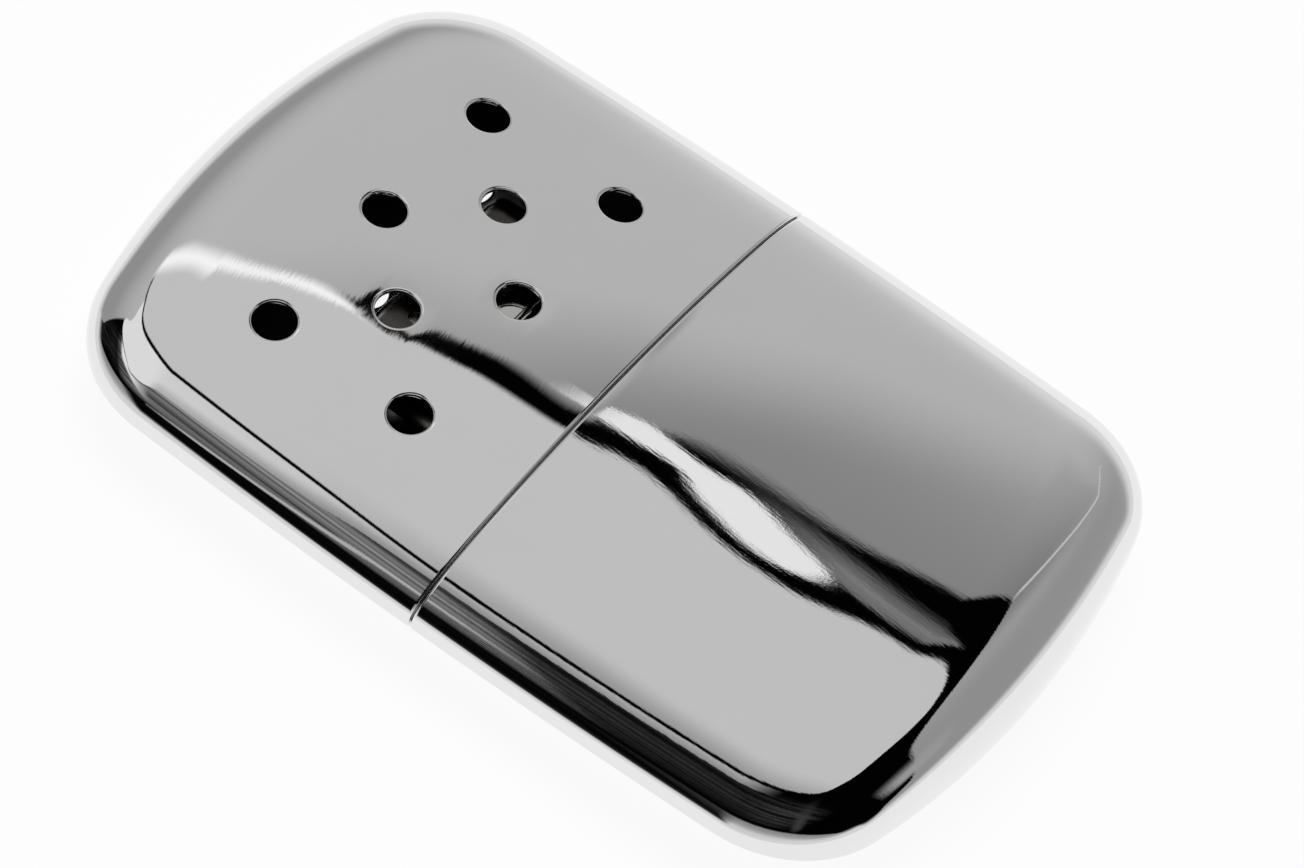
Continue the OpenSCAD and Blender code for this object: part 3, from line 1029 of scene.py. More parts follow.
@dataclass
class Burner:
    """Push-on burner: sleeve with spring slits, and slotted housing over the mat."""

    sleeve_bottom: float = 8.45
    shoulder: float = 12.4
    housing_bottom: float = 12.8
    housing_top: float = 23.8
    wall: float = 0.4
    sleeve_radius: float = 4.4
    housing_radius: float = 4.9
    bore_radius: float = 4.0
    end_round: float = 0.65
    slots: int = 6
    slot_pitch: float = 2.9
    slot_radius: float = 0.7
    slot_roll: float = 0.1
    slot_cells: int = 3
    cross_cell: float = 0.25
    lead_cells: int = 5
    face_cells: int = 13
    face_reach: float = 3.2
    end_cells: int = 11
    end_reach: float = 2.9
    round_cells: int = 28
    face_slot_straight: float = 2.1
    end_slot_straight: float = 1.8
    slit_y: float = 6.0
    slit_half: float = 0.4
    slit_top: float = 11.25
    slit_cells: int = 8
    straight: float = NECK_STRAIGHT
    edge: EdgeRound = EdgeRound(push=(0.02, 0.06, 0.09, 0.10, 0.10, 0.08, 0.02),
                                depth=(0.0, 0.05, 0.16, 0.30, 0.80, 0.95, 1.0))

    def half_profile(self, inset: float) -> tuple[np.ndarray, np.ndarray]:
        """X and distance along the housing: up its side, round its edge, in to the middle.

        Args:
            inset: 0 for the outer side, the sheet's thickness for the inner one.

        Returns:
            The two arrays, ending at the middle of the end.
        """
        middle = (self.housing_bottom + self.housing_top) / 2
        block = middle + np.arange(-self.face_cells, self.face_cells + 1) \
            * (self.face_reach / self.face_cells)
        lead = np.linspace(self.housing_bottom, block[0], self.lead_cells + 1)[:-1]
        side = np.concatenate([lead, block,
                               np.linspace(block[-1], self.housing_top - self.end_round, 5)[1:]])
        turn = np.radians(np.linspace(0, 90, 9))[1:]
        small = self.end_round - inset
        across = np.concatenate([
            np.linspace(self.housing_radius - self.end_round, self.end_reach, 4)[1:-1],
            np.arange(self.end_cells, -1, -1) * (self.end_reach / self.end_cells)])
        x = np.concatenate([side, self.housing_top - self.end_round + small * np.sin(turn),
                            np.full(len(across), self.housing_top - inset)])
        distance = np.concatenate([np.full(len(side), self.housing_radius - inset),
                                   self.housing_radius - self.end_round + small * np.cos(turn),
                                   across])
        return x, distance

    def slot_places(self) -> np.ndarray:
        """Y of the slots' middles."""
        return self.slot_pitch * (np.arange(self.slots) - (self.slots - 1) / 2)

    def cross_lines(self) -> np.ndarray:
        """Grid lines across the housing, eight cells to a slot and two between slots.

        Returns:
            Y of the lines.
        """
        centres = self.slot_places()
        reach = self.slot_cells + 1
        block = (centres[:, None] + np.arange(-reach, reach + 1) * self.cross_cell).ravel()
        between = (centres[:-1] + centres[1:]) / 2
        return np.sort(np.concatenate([block, between, [-self.straight, self.straight]]))

    def housing_surface(self, inset: float) -> tuple[np.ndarray, np.ndarray]:
        """Points and cells of one side of the housing's sheet.

        A band of lines runs up the front, over the end and down the back, with the slots
        cut in it. Half turns of the same profile close its two round sides.

        Args:
            inset: 0 for the outer side, the sheet's thickness for the inner one.

        Returns:
            The points, and the quads on them.
        """
        x_half, d_half = self.half_profile(inset)
        lines = self.cross_lines()
        path_x = np.concatenate([x_half, x_half[-2::-1]])
        path_z = np.concatenate([d_half, -d_half[-2::-1]])
        band_x = np.repeat(path_x[:, None], len(lines), 1)
        band_z = np.repeat(path_z[:, None], len(lines), 1)
        band_y = np.repeat(lines[None], len(path_x), 0)
        keep = np.ones((len(path_x) - 1, len(lines) - 1), bool)
        face_row, wide = self.lead_cells + self.face_cells, self.slot_cells
        on_face, on_end = self.face_cells - 1, self.end_cells - 1
        rows = ((face_row, on_face, self.face_slot_straight, band_x, 1.0),
                (len(x_half) - 1, on_end, self.end_slot_straight, band_z, -1.0),
                (len(path_x) - 1 - face_row, on_face, self.face_slot_straight, band_x, -1.0))
        for row, long, straight, along, sense in rows:
            base = along[row].copy()
            i, j, di, dj = opening_ring(long, wide, straight, self.slot_radius + self.slot_roll)
            for centre in self.slot_places():
                column = int(np.argmin(np.abs(lines - centre)))
                along[row + i, column + j] = base[column] + sense * di
                band_y[row + i, column + j] = centre + dj
                keep[row - long:row + long, column - wide:column + wide] = False
        points = [points_of(band_x, band_y, band_z)]
        cells = [grid_quads(len(path_x), len(lines))[keep.ravel()]]
        angle = np.linspace(0, math.pi, self.round_cells + 1)
        for side in (-1, 1):
            count = sum(len(p) for p in points)
            distance, turn = np.meshgrid(d_half, angle, indexing="ij")
            points.append(points_of(x_half[:, None], side * (
                self.straight + distance * np.sin(turn)), distance * np.cos(turn)))
            quads = grid_quads(len(x_half), len(angle))
            cells.append((quads if side > 0 else quads[:, ::-1]) + count)
        return np.concatenate(points), np.concatenate(cells)[:, ::-1]

    def housing(self) -> bpy.types.Object:
        """Makes the slotted housing.

        Returns:
            The new piece.
        """
        outer, cells = self.housing_surface(0.0)
        inner, _ = self.housing_surface(self.wall)
        both, cells = weld(np.concatenate([outer, inner], 1), cells, 4)
        scale = np.where(both[:, 0] < self.housing_bottom + 0.01, 0.0, 1.0)
        points, quads = thicken(both[:, :3], both[:, 3:], cells, self.edge, scale)
        return make_piece("burner_housing_slotted", *weld(points, quads))

    def sleeve(self) -> bpy.types.Object:
        """Makes the sleeve: a skirt with four slits, stepped out to the shoulder.

        Returns:
            The new piece.
        """
        start, stop = self.slit_y - self.slit_half, self.slit_y + self.slit_half
        side = stretches((-self.straight, -stop, -start, start, stop, self.straight),
                         (5, 2, 21, 2, 5))
        loop = Stadium(self.straight, end_cells=self.round_cells, stops=tuple(side))
        centre, across, _ = loop.loop()
        x = stretches((self.sleeve_bottom, self.slit_top, self.shoulder - 0.35),
                      (self.slit_cells, 3))
        outer = np.full(len(x), self.sleeve_radius)
        bend = np.radians(np.linspace(0, 90, 6))
        x = np.concatenate([x, self.shoulder - 0.2 + 0.2 * np.sin(bend),
                            self.shoulder + 0.1 - 0.1 * np.cos(bend[1:]), [self.housing_bottom]])
        outer = np.concatenate([outer, self.sleeve_radius + 0.2 - 0.2 * np.cos(bend),
                                self.housing_radius - 0.1 + 0.1 * np.sin(bend[1:]),
                                [self.housing_radius]])
        surfaces = [loop.carry(np.stack([x, d], -1))
                    for d in (outer, np.full(len(x), self.bore_radius))]
        keep = np.ones((len(x) - 1, len(centre)), bool)
        on_side = (np.abs(across) < 1e-9) & (np.abs(np.roll(across, -1)) < 1e-9)
        middle = np.abs((centre + np.roll(centre, -1)) / 2)
        keep[:self.slit_cells, on_side & (middle > start) & (middle < stop)] = False
        quads = grid_quads(len(x), len(centre), wrap=True)[keep.ravel()][:, ::-1]
        scale = np.where(surfaces[0][:, 0] > self.shoulder + 0.2, 0.0, 0.6)
        points, quads = thicken(surfaces[0], surfaces[1], quads, EdgeRound(
            push=(0.01, 0.04, 0.05, 0.05, 0.04), depth=(0.0, 0.06, 0.2, 0.8, 0.94)), scale)
        return make_piece("burner_sleeve_slit", *weld(points, quads))


# --- Shader graphs -----------------------------------------------------------------------


class Graph:
    """Short ways to add nodes to one shader tree and to join them."""

    def __init__(self, tree: bpy.types.NodeTree) -> None:
        """Takes the tree that the nodes go into."""
        self.tree = tree

    def add(self, kind: str, **settings: object) -> bpy.types.Node:
        """Adds a node and sets its plain settings.

        Args:
            kind: the node's type.
            settings: its properties.

        Returns:
            The node.
        """
        node = self.tree.nodes.new(kind)
        for name, value in settings.items():
            setattr(node, name, value)
        return node

    def feed(self, socket: bpy.types.NodeSocket, value: object) -> None:
        """Joins an output to a socket, or sets the socket to a plain value.

        Args:
            socket: the input.
            value: an output, a plain value, or None to leave it alone.
        """
        if isinstance(value, bpy.types.NodeSocket):
            self.tree.links.new(value, socket)
        elif value is not None:
            socket.default_value = value

    def fill(self, sockets: object, *values: object) -> None:
        """Feeds a run of sockets in order."""
        for socket, value in zip(sockets, values):
            self.feed(socket, value)

    def math(self, operation: str, a: object, b: object = None, c: object = None,
             clamp: bool = False) -> bpy.types.NodeSocket:
        """One math node.

        Args:
            operation: what the node works out.
            a: its first value.
            b: its second value, where it takes one.
            c: its third value, where it takes one.
            clamp: whether the result is held between 0 and 1.

        Returns:
            The result.
        """
        node = self.add("ShaderNodeMath", operation=operation, use_clamp=clamp)
        self.fill(node.inputs, a, b, c)
        return node.outputs[0]

    def product(self, *values: object) -> bpy.types.NodeSocket:
        """All the values multiplied together.

        Args:
            values: two or more values.

        Returns:
            Their product.
        """
        total = values[0]
        for value in values[1:]:
            total = self.math("MULTIPLY", total, value)
        return total

    def scaled(self, source: object, factor: float) -> bpy.types.NodeSocket:
        """A vector times a plain factor.

        Args:
            source: the vector.
            factor: the factor.

        Returns:
            The longer or shorter vector.
        """
        node = self.add("ShaderNodeVectorMath", operation="SCALE")
        self.feed(node.inputs[0], source)
        node.inputs["Scale"].default_value = factor
        return node.outputs[0]

    def parts(self, source: object) -> list[bpy.types.NodeSocket]:
        """X, Y and Z of a vector.

        Args:
            source: the vector.

        Returns:
            The three numbers.
        """
        node = self.add("ShaderNodeSeparateXYZ")
        self.feed(node.inputs[0], source)
        return list(node.outputs)

    def group(self, tree: bpy.types.NodeTree, place: object) -> bpy.types.NodeOutputs:
        """Puts in a node group at these coordinates, and gives its outputs.

        Args:
            tree: the group.
            place: the coordinates that it reads.

        Returns:
            Its outputs, by name.
        """
        node = self.add("ShaderNodeGroup", node_tree=tree)
        self.feed(node.inputs["Place"], place)
        return node.outputs

    def emboss(self, shader: bpy.types.Node, height: object, depth: float) -> None:
        """Feeds a shader's normal from a height.

        Args:
            shader: the shader.
            height: the height.
            depth: metres that a height of 1 stands for.
        """
        bump = self.add("ShaderNodeBump")
        bump.inputs["Distance"].default_value = depth
        self.feed(bump.inputs["Height"], height)
        self.feed(shader.inputs["Normal"], bump.outputs[0])

    def step(self, value: object, low: object, high: object, start: object = 0.0,
             stop: object = 1.0) -> bpy.types.NodeSocket:
        """Smooth step of a value, from start at low to stop at high.

        Args:
            value: the value.
            low: where the step begins.
            high: where it ends.
            start: result before it.
            stop: result after it.

        Returns:
            The stepped value.
        """
        node = self.add("ShaderNodeMapRange", interpolation_type="SMOOTHSTEP")
        self.fill(node.inputs, value, low, high, start, stop)
        return node.outputs[0]

    def near(self, value: object, out: float, into: float, start: float = 0.0,
             stop: float = 1.0) -> bpy.types.NodeSocket:
        """Smooth step towards 0 from either side: start from out, stop from into."""
        return self.step(self.math("ABSOLUTE", value), out, into, start, stop)

    def mix(self, share: object, a: object, b: object) -> bpy.types.NodeSocket:
        """Mix of two numbers.

        Args:
            share: share of the second one.
            a: the first one.
            b: the second one.

        Returns:
            The mix.
        """
        node = self.add("ShaderNodeMix", data_type="FLOAT")
        self.fill(node.inputs[:1] + node.inputs[2:4], share, a, b)
        return node.outputs[0]

    def blend(self, share: object, a: object, b: object) -> bpy.types.NodeSocket:
        """Mix of two colours.

        Args:
            share: share of the second one.
            a: the first one.
            b: the second one.

        Returns:
            The mix.
        """
        node = self.add("ShaderNodeMix", data_type="RGBA")
        self.fill(node.inputs[:1] + node.inputs[6:8], share, a, b)
        return node.outputs[2]

    def curve(self, value: object, *points: tuple[float, float]) -> bpy.types.NodeSocket:
        """Smooth curve of a value through a few points, level beyond its ends.

        Args:
            value: the value.
            points: points of the curve.

        Returns:
            The curve's height at the value.
        """
        node = self.add("ShaderNodeFloatCurve")
        mapping = node.mapping
        mapping.use_clip = False
        mapping.extend = "HORIZONTAL"
        drawn = mapping.curves[0].points
        for number, place in enumerate(points):
            if number < 2:
                drawn[number].location = place
            else:
                drawn.new(*place)
            drawn[number].handle_type = "AUTO_CLAMPED"
        mapping.update()
        self.feed(node.inputs["Value"], value)
        return node.outputs[0]

    def between(self, value: object, low: object, high: object,
                soft: float = 0.008) -> bpy.types.NodeSocket:
        """1 where a value lies between two others, with soft ends."""
        return self.math("MINIMUM", self.step(self.math("SUBTRACT", value, low), -soft, soft),
                         self.step(self.math("SUBTRACT", high, value), -soft, soft))

    def off(self, value: object, middle: object, wide: object) -> bpy.types.NodeSocket:
        """How far a value is off a middle line, in half-widths."""
        return self.math("DIVIDE", self.math("SUBTRACT", value, middle), wide)

    def noise(self, place: object, scale: float, detail: float = 2.0,
              rough: float = 0.5) -> bpy.types.NodeSocket:
        """Noise from 0 to 1 about 0.5.

        Args:
            place: coordinates.
            scale: lumps to a unit.
            detail: how many finer layers it has.
            rough: how strong the finer layers are.

        Returns:
            The noise.
        """
        node = self.add("ShaderNodeTexNoise")
        self.fill([node.inputs[k] for k in ("Vector", "Scale", "Detail", "Roughness")],
                  place, scale, detail, rough)
        return node.outputs[0]

    def placed(self, source: object, turn: tuple[float, float, float],
               size: tuple[float, float, float]) -> bpy.types.NodeSocket:
        """Coordinates in a frame that is turned, in degrees, and has units of such a size.

        Args:
            source: the coordinates.
            turn: turn about X, Y and Z.
            size: size of the frame's units.

        Returns:
            The new coordinates.
        """
        node = self.add("ShaderNodeMapping", vector_type="TEXTURE")
        self.feed(node.inputs["Vector"], source)
        node.inputs["Rotation"].default_value = [math.radians(a) for a in turn]
        node.inputs["Scale"].default_value = size
        return node.outputs[0]


def new_group(name: str, *outputs: str
              ) -> tuple[Graph, bpy.types.NodeSocket, bpy.types.Node]:
    """Starts a shader node group that takes coordinates and gives numbers.

    Args:
        name: the group's name.
        outputs: names of the number outputs.

    Returns:
        The group's graph, its coordinates in millimetres, and its output node.
    """
    tree = bpy.data.node_groups.new(name, "ShaderNodeTree")
    tree.interface.new_socket("Place", in_out="INPUT", socket_type="NodeSocketVector")
    for label in outputs:
        tree.interface.new_socket(label, in_out="OUTPUT", socket_type="NodeSocketFloat")
    graph = Graph(tree)
    place = graph.scaled(graph.add("NodeGroupInput").outputs["Place"], 1 / MM)
    return graph, place, graph.add("NodeGroupOutput")


def polish_group() -> bpy.types.NodeTree:
    """Polishing marks, in a frame whose X runs along them.

    Strokes are noise drawn out along X in two finenesses, grain is even fine noise, and
    haze is slow noise.

    Returns:
        The group's tree, which puts out Strokes, Grain and Haze.
    """
    graph, place, out = new_group("polish_marks", "Strokes", "Grain", "Haze")
    fine = graph.noise(graph.placed(place, (0, 0, 3), (1.5, 0.26, 0.26)), 1.0, 1.0)
    broad = graph.noise(graph.placed(place, (0, 0, -4), (4.0, 0.6, 0.6)), 1.0, 1.0)
    strokes = graph.math("MULTIPLY_ADD", broad, 0.8, fine)
    grain = graph.noise(place, 6.5, 1.0)
    haze = graph.step(graph.noise(place, 0.06, 4.0, 0.6), 0.35, 0.75)
    graph.fill(out.inputs, strokes, grain, haze)
    return graph.tree


def fibre_group() -> bpy.types.NodeTree:
    """Loose fibres: crossed stretched noise for strands and slow noise for clumps.

    Returns:
        The group's tree, which puts out Strands and Clumps.
    """
    graph, place, out = new_group("fibres", "Strands", "Clumps")
    wander = graph.noise(place, 0.6, 1.0).node.outputs["Color"]
    bend = graph.add("ShaderNodeVectorMath", operation="ADD")
    graph.fill(bend.inputs, place, graph.scaled(wander, 3.0))
    strands = None
    for turn in ((20, 10, 15), (70, -30, 80), (-40, 60, 140)):
        wave = graph.noise(graph.placed(bend.outputs[0], turn, (2.0, 0.14, 0.14)), 1.0, 2.0)
        ridge = graph.step(graph.math("ABSOLUTE", graph.math("SUBTRACT", wave, 0.5)),
                           0.0, 0.08, 1.0, 0.0)
        strands = ridge if strands is None else graph.math("MAXIMUM", strands, ridge)
    clumps = graph.noise(place, 0.5, 3.0, 0.6)
    graph.fill(out.inputs, strands, clumps)
    return graph.tree


@dataclass
class Finish:
    """A material with its Principled shader, ready for its own detail."""

    name: str
    colour: tuple[float, float, float]
    metallic: float
    roughness: float
    shades: tuple[float, float]

    def start(self) -> tuple[Graph, bpy.types.Node, bpy.types.NodeSocket, bpy.types.Material]:
        """Makes the material.

        Returns:
            Its graph, its Principled node, the Object coordinates and the material.
        """
        material = bpy.data.materials.new(self.name)
        material.use_nodes = True
        graph = Graph(material.node_tree)
        shader = material.node_tree.nodes["Principled BSDF"]
        shader.inputs["Base Color"].default_value = (*self.colour, 1)
        shader.inputs["Metallic"].default_value = self.metallic
        shader.inputs["Roughness"].default_value = self.roughness
        return graph, shader, graph.add("ShaderNodeTexCoord").outputs["Object"], material

    def grey(self, factor: float) -> tuple[float, float, float, float]:
        """The finish's colour, darkened or lightened by a factor."""
        return (*(min(c * factor, 1.0) for c in self.colour), 1)

    def tint(self, graph: Graph, shader: bpy.types.Node, share: object) -> None:
        """Colours the shader from the first to the second shade as the share grows."""
        graph.feed(shader.inputs["Base Color"],
                   graph.blend(share, *(self.grey(factor) for factor in self.shades)))


@dataclass
class MirrorChrome(Finish):
    """Mirror-polished plate: sharp reflections, feathered by fine polishing lines."""

    name: str = "mirror_chrome"
    colour: tuple[float, float, float] = (0.82, 0.82, 0.83)
    metallic: float = 1.0
    roughness: float = 0.012
    shades: tuple[float, float] = (1.0, 0.985)
    haze: float = 0.012
    grain: float = 0.35
    stroke_height: float = 8e-7
    stroke_turn: float = 0.0

    def make(self, polish: bpy.types.NodeTree) -> bpy.types.Material:
        """Builds the material from the shared polish group.

        Args:
            polish: the shared polish group.

        Returns:
            The material.
        """
        graph, shader, place, material = self.start()
        marks = graph.group(polish, graph.placed(place, (0, 0, self.stroke_turn), (1, 1, 1)))
        graph.feed(shader.inputs["Roughness"],
                   graph.math("MULTIPLY_ADD", marks["Haze"], self.haze, self.roughness))
        self.tint(graph, shader, marks["Haze"])
        height = graph.math("MULTIPLY_ADD", marks["Grain"], self.grain, marks["Strokes"])
        graph.emboss(shader, height, self.stroke_height)
        return material


@dataclass
class BrightNickel(Finish):
    """Bright nickel plate, darkened towards its end and on its sides: partly a tint from the
    burner's warmth, partly painted shade.
    """

    name: str = "bright_nickel"
    colour: tuple[float, float, float] = (0.74, 0.73, 0.70)
    metallic: float = 1.0
    roughness: float = 0.07
    shades: tuple[float, float] = (1.0, 1.0)
    # Near-black colour of painted shade, with some tint from the burner's warmth
    heat_and_shade_stain: tuple[float, float, float, float] = (0.085, 0.08, 0.075, 1)
    band: tuple[float, float] = (0.0175, 0.0205)
    flank: tuple[float, float] = (0.0084, 0.0098)
    end_limit: tuple[float, float] = (0.0236, 0.0228)

    def make(self, polish: bpy.types.NodeTree) -> bpy.types.Material:
        """Builds the material: painted shade, with some tint from the burner's warmth, darkens
        its sides and a band before its end.

        Args:
            polish: the shared polish group.

        Returns:
            The material.
        """
        graph, shader, place, material = self.start()
        marks = graph.group(polish, place)
        x, y, _ = graph.parts(place)
        blotch = graph.math("MULTIPLY_ADD", graph.noise(place, 300, 3.0), 0.004, -0.002)
        along = graph.math("ADD", x, blotch)
        aside = graph.math("ADD", graph.math("ABSOLUTE", y), blotch)
        # An even limit, so that no ragged spots of it reach the bright end face
        limit = graph.step(x, *self.end_limit)
        # Painted shade: the sides and a band before the end turn near black, so the vents show a
        # dark inside; some of it is tint from the burner's warmth
        heat_and_shade = graph.product(limit, graph.math(
            "MAXIMUM", graph.step(along, *self.band), graph.step(aside, *self.flank)))
        graph.feed(shader.inputs["Base Color"],
                   graph.blend(heat_and_shade, self.grey(1.0), self.heat_and_shade_stain))
        graph.feed(shader.inputs["Roughness"],
                   graph.math("MULTIPLY_ADD", heat_and_shade, 0.2, self.roughness))
        graph.emboss(shader, marks["Strokes"], 2e-7)
        return material


@dataclass
class SatinTin(Finish):
    """Satin tinned steel with draw lines along the body and faint soft blotches."""

    name: str = "satin_tin"
    colour: tuple[float, float, float] = (0.68, 0.68, 0.66)
    metallic: float = 1.0
    roughness: float = 0.24
    shades: tuple[float, float] = (0.9, 1.05)

    def make(self, polish: bpy.types.NodeTree) -> bpy.types.Material:
        """Builds the material: draw lines in the bump, blotches in colour and gloss.

        Args:
            polish: the shared polish group.

        Returns:
            The material.
        """
        graph, shader, place, material = self.start()
        marks = graph.group(polish, place)
        blotch = graph.step(graph.noise(place, 180, 4.0, 0.6), 0.3, 0.7)
        self.tint(graph, shader, blotch)
        graph.feed(shader.inputs["Roughness"],
                   graph.math("MULTIPLY_ADD", blotch, 0.1, self.roughness - 0.05))
        graph.emboss(shader, marks["Strokes"], 1.5e-6)
        return material


@dataclass
class WovenGauze(Finish):
    """Dull woven wire: crossed waves, so many radians a metre, give its over and under."""

    name: str = "woven_gauze"
    colour: tuple[float, float, float] = (0.50, 0.49, 0.47)
    metallic: float = 1.0
    roughness: float = 0.38
    shades: tuple[float, float] = (0.55, 1.15)
    wire_rate: float = 21000.0

    def make(self) -> bpy.types.Material:
        """Builds the material: height is the product of two fine waves across the gauze, and the
        colour follows it as painted shade and highlight.

        Returns:
            The material.
        """
        graph, shader, place, material = self.start()
        weave = graph.product(*(graph.math("SINE", graph.math("MULTIPLY", part, self.wire_rate))
                                for part in graph.parts(place)[1:]))
        # Painted shade and highlight: the colour darkens in the weave's dips and lightens on its
        # tops
        self.tint(graph, shader, graph.step(weave, -1.0, 1.0))
        graph.emboss(shader, weave, 3e-5)
        return material


@dataclass
class Fibre(Finish):
    """Loose or felted fibre: strands lighten the colour and raise the bump."""

    name: str = "cotton_fibre"
    colour: tuple[float, float, float] = (0.90, 0.88, 0.83)
    metallic: float = 0.0
    roughness: float = 0.95
    shades: tuple[float, float] = (0.72, 1.08)
    strand_depth: float = 1.2e-4
    sheen: float = 0.25

    def make(self, fibres: bpy.types.NodeTree) -> bpy.types.Material:
        """Builds the material from the shared fibre group.

        Args:
            fibres: the shared fibre group.

        Returns:
            The material.
        """
        graph, shader, place, material = self.start()
        marks = graph.group(fibres, place)
        tone = graph.math("MULTIPLY_ADD", marks["Strands"], 0.5,
                          graph.math("MULTIPLY", marks["Clumps"], 0.6), clamp=True)
        self.tint(graph, shader, tone)
        shader.inputs["Sheen Weight"].default_value = self.sheen
        graph.emboss(shader, tone, self.strand_depth)
        return material


# --- Studio ------------------------------------------------------------------------------


@dataclass
class Studio:
    """Camera, pale floor, soft lamp, and the softboxes that the chrome mirrors.

    The surroundings are worked out by direction. A direction (x, y, z) is read as the
    place u = x / z, v = y / z where it meets a ceiling, on which a softbox's straight
    edges are straight lines.
    """

    azimuth: float = 202.3287
    elevation: float = 51.7553
    roll: float = 16.5177
    distance: float = 608.706
    shift_right: float = -3.3054
    shift_up: float = 1.5374
    lens: float = 171.985
    pivot: tuple[float, float, float] = (0.0, 0.0, 6.8)
    stripes: float = 22.0
    floor_reach: float = 3000.0
    floor_depth: float = 0.02
    floor_white: float = 0.92
    lamp_size: float = 0.8
    lamp_power: float = 7.0
    lamp_place: tuple[float, float, float] = (0.15, -0.25, 1.0)

    def camera(self) -> None:
        """Places the camera where a lens fitted to the photo's outline stands."""
        az, el, roll = (math.radians(a) for a in (self.azimuth, self.elevation, self.roll))
        back = Vector((math.sin(az) * math.cos(el), -math.cos(az) * math.cos(el), math.sin(el)))
        level = Vector((math.cos(az), math.sin(az), 0))
        rise = back.cross(level)
        right = math.cos(roll) * level + math.sin(roll) * rise
        up = -math.sin(roll) * level + math.cos(roll) * rise
        eye = Vector(self.pivot) + back * self.distance - right * self.shift_right \
            - up * self.shift_up
        data = bpy.data.cameras.new("camera")
        data.lens = self.lens
        data.sensor_width = 36
        data.clip_start, data.clip_end = 0.01, 50
        view = bpy.data.objects.new("camera", data)
        view.matrix_world = Matrix.Translation(eye * MM) @ Matrix(
            (right, up, back)).transposed().to_4x4()
        bpy.context.scene.collection.objects.link(view)
        bpy.context.scene.camera = view

    @staticmethod
    def tone(seen: float) -> float:
        """Light that polished chrome shows as so much, of 255, in the picture."""
        return (seen / 255) ** 2.2 / 0.84

    def lit(self, graph: Graph, seen: object) -> bpy.types.NodeSocket:
        """The same for a brightness that varies."""
        share = graph.math("MULTIPLY", seen, 1 / 255)
        return graph.math("MULTIPLY", graph.math("POWER", share, 2.2), 1 / 0.84)

    def sweep(self, graph: Graph, u: object, v: object) -> bpy.types.NodeSocket:
        """Grey sweep behind the object, and the dim room with thin stripes on this side.

        Args:
            graph: where the nodes go.
            u: place on the ceiling along X.
            v: place on the ceiling along Y.

        Returns:
            The light of the two, with the dark gap between the sweep and the softbox.
        """
        # Edge of the sweep, then how much it lifts to the left and to the right
        gap = graph.curve(u, (-0.05, -0.83), (0.19, -0.777), (0.232, -0.75), (0.256, -0.70),
                          (0.284, -0.665), (0.296, -0.574), (0.312, -0.582), (0.322, -0.555),
                          (0.329, -0.505), (0.336, -0.470), (0.345, -0.42), (0.36, -0.39))
        gap = graph.math("ADD", gap, graph.curve(u, (-2.5, 0.08), (-0.9, 0.43), (-0.58, 0.47),
                                                 (-0.05, 0.0)))
        gap = graph.math("ADD", gap, graph.curve(u, (0.60, 0.0), (0.68, 0.23), (0.75, 0.40),
                                                 (0.95, 0.44), (2.4, 0.74)))
        under = graph.math("SUBTRACT", gap, v)
        # Lightest along a slanting ridge, lighter to the horizon, darker near the gap
        ridge = graph.math("SUBTRACT", u, graph.math("MULTIPLY_ADD", v, -0.13, 0.42))
        shade = graph.near(ridge, 1.2, 0.0, 142, 180)
        shade = graph.math("ADD", shade, graph.step(v, -1.0, -5.0, 0, 12))
        corner = graph.product(graph.step(u, 0.36, 0.28), graph.step(u, -0.3, 0.0),
                               graph.step(v, -2.0, -0.6, 0, 46))
        shade = graph.math("SUBTRACT", shade, corner)
        # How softly it ends
        soft = graph.curve(u, (0.22, 0.016), (0.25, 0.03), (0.28, 0.05), (0.30, 0.024),
                           (0.345, 0.024))
        sweep = graph.step(graph.math("DIVIDE", under, soft), -0.4, 1.0)

        # The room: dim bands along u, fading with v, in stripes of drawn-out noise
        side = graph.product(graph.step(v, 0.10, 0.3), graph.step(u, -0.62, -0.25))
        dim = graph.curve(u, (-0.6, 26), (-0.25, 46), (0.2, 34), (0.245, 50), (0.3, 100),
                          (0.5, 100), (0.95, 30))
        fade = graph.curve(v, (0.2, 1.0), (0.55, 0.9), (0.75, 0.55), (0.85, 0.12), (1.3, 0.12),
                           (2.5, 0.35))
        place = graph.add("ShaderNodeCombineXYZ")
        graph.fill(place.inputs, u, graph.math("MULTIPLY", v, self.stripes))
        stripes = graph.step(graph.noise(place.outputs[0], 1.0, 3.0, 0.6), 0.3, 0.7, 0.45, 1.5)
        room = self.lit(graph, graph.product(dim, fade, stripes))
        return graph.mix(sweep, graph.math("MULTIPLY_ADD", room, side, self.tone(8)),
                         self.lit(graph, shade))

    def softboxes(self, graph: Graph, u: object, v: object,
                  total: object) -> bpy.types.NodeSocket:
        """Overhead softbox, the dark rod at its far edge and the second softbox past it.

        Args:
            graph: where the nodes go.
            u: place on the ceiling along X.
            v: place on the ceiling along Y.
            total: the light so far.

        Returns:
            The light with the softboxes in front.
        """
        # Near and far edge of the softbox, with the rod at the far one
        edge = graph.curve(u, (-0.28, -0.38), (-0.26, -0.43), (-0.02, -0.545), (0.216, -0.560),
                           (0.242, -0.520), (0.275, -0.556), (0.289, -0.53), (0.305, -0.53),
                           (0.318, -0.508), (0.328, -0.484), (0.340, -0.450), (0.36, -0.40))
        rod = graph.curve(u, (-0.28, -0.36), (-0.2, -0.12), (-0.14, 0.01), (-0.05, 0.055),
                          (0.17, 0.09), (0.25, 0.115), (0.30, 0.08), (0.40, 0.025),
                          (0.58, -0.06), (0.675, -0.20), (0.80, -0.38))
        rise = graph.math("SUBTRACT", v, rod)
        line = graph.product(graph.between(rise, 0.0, 0.03), graph.between(u, 0.1, 0.78))
        total = graph.mix(line, total, self.tone(8))
        box = graph.product(graph.between(v, edge, rod), graph.between(u, -0.275, 0.78, 0.012))
        dark = graph.product(graph.step(v, -0.12, 0.12), graph.step(u, 0.31, 0.22))
        total = graph.mix(box, total, graph.mix(dark, self.tone(191), self.tone(150)))

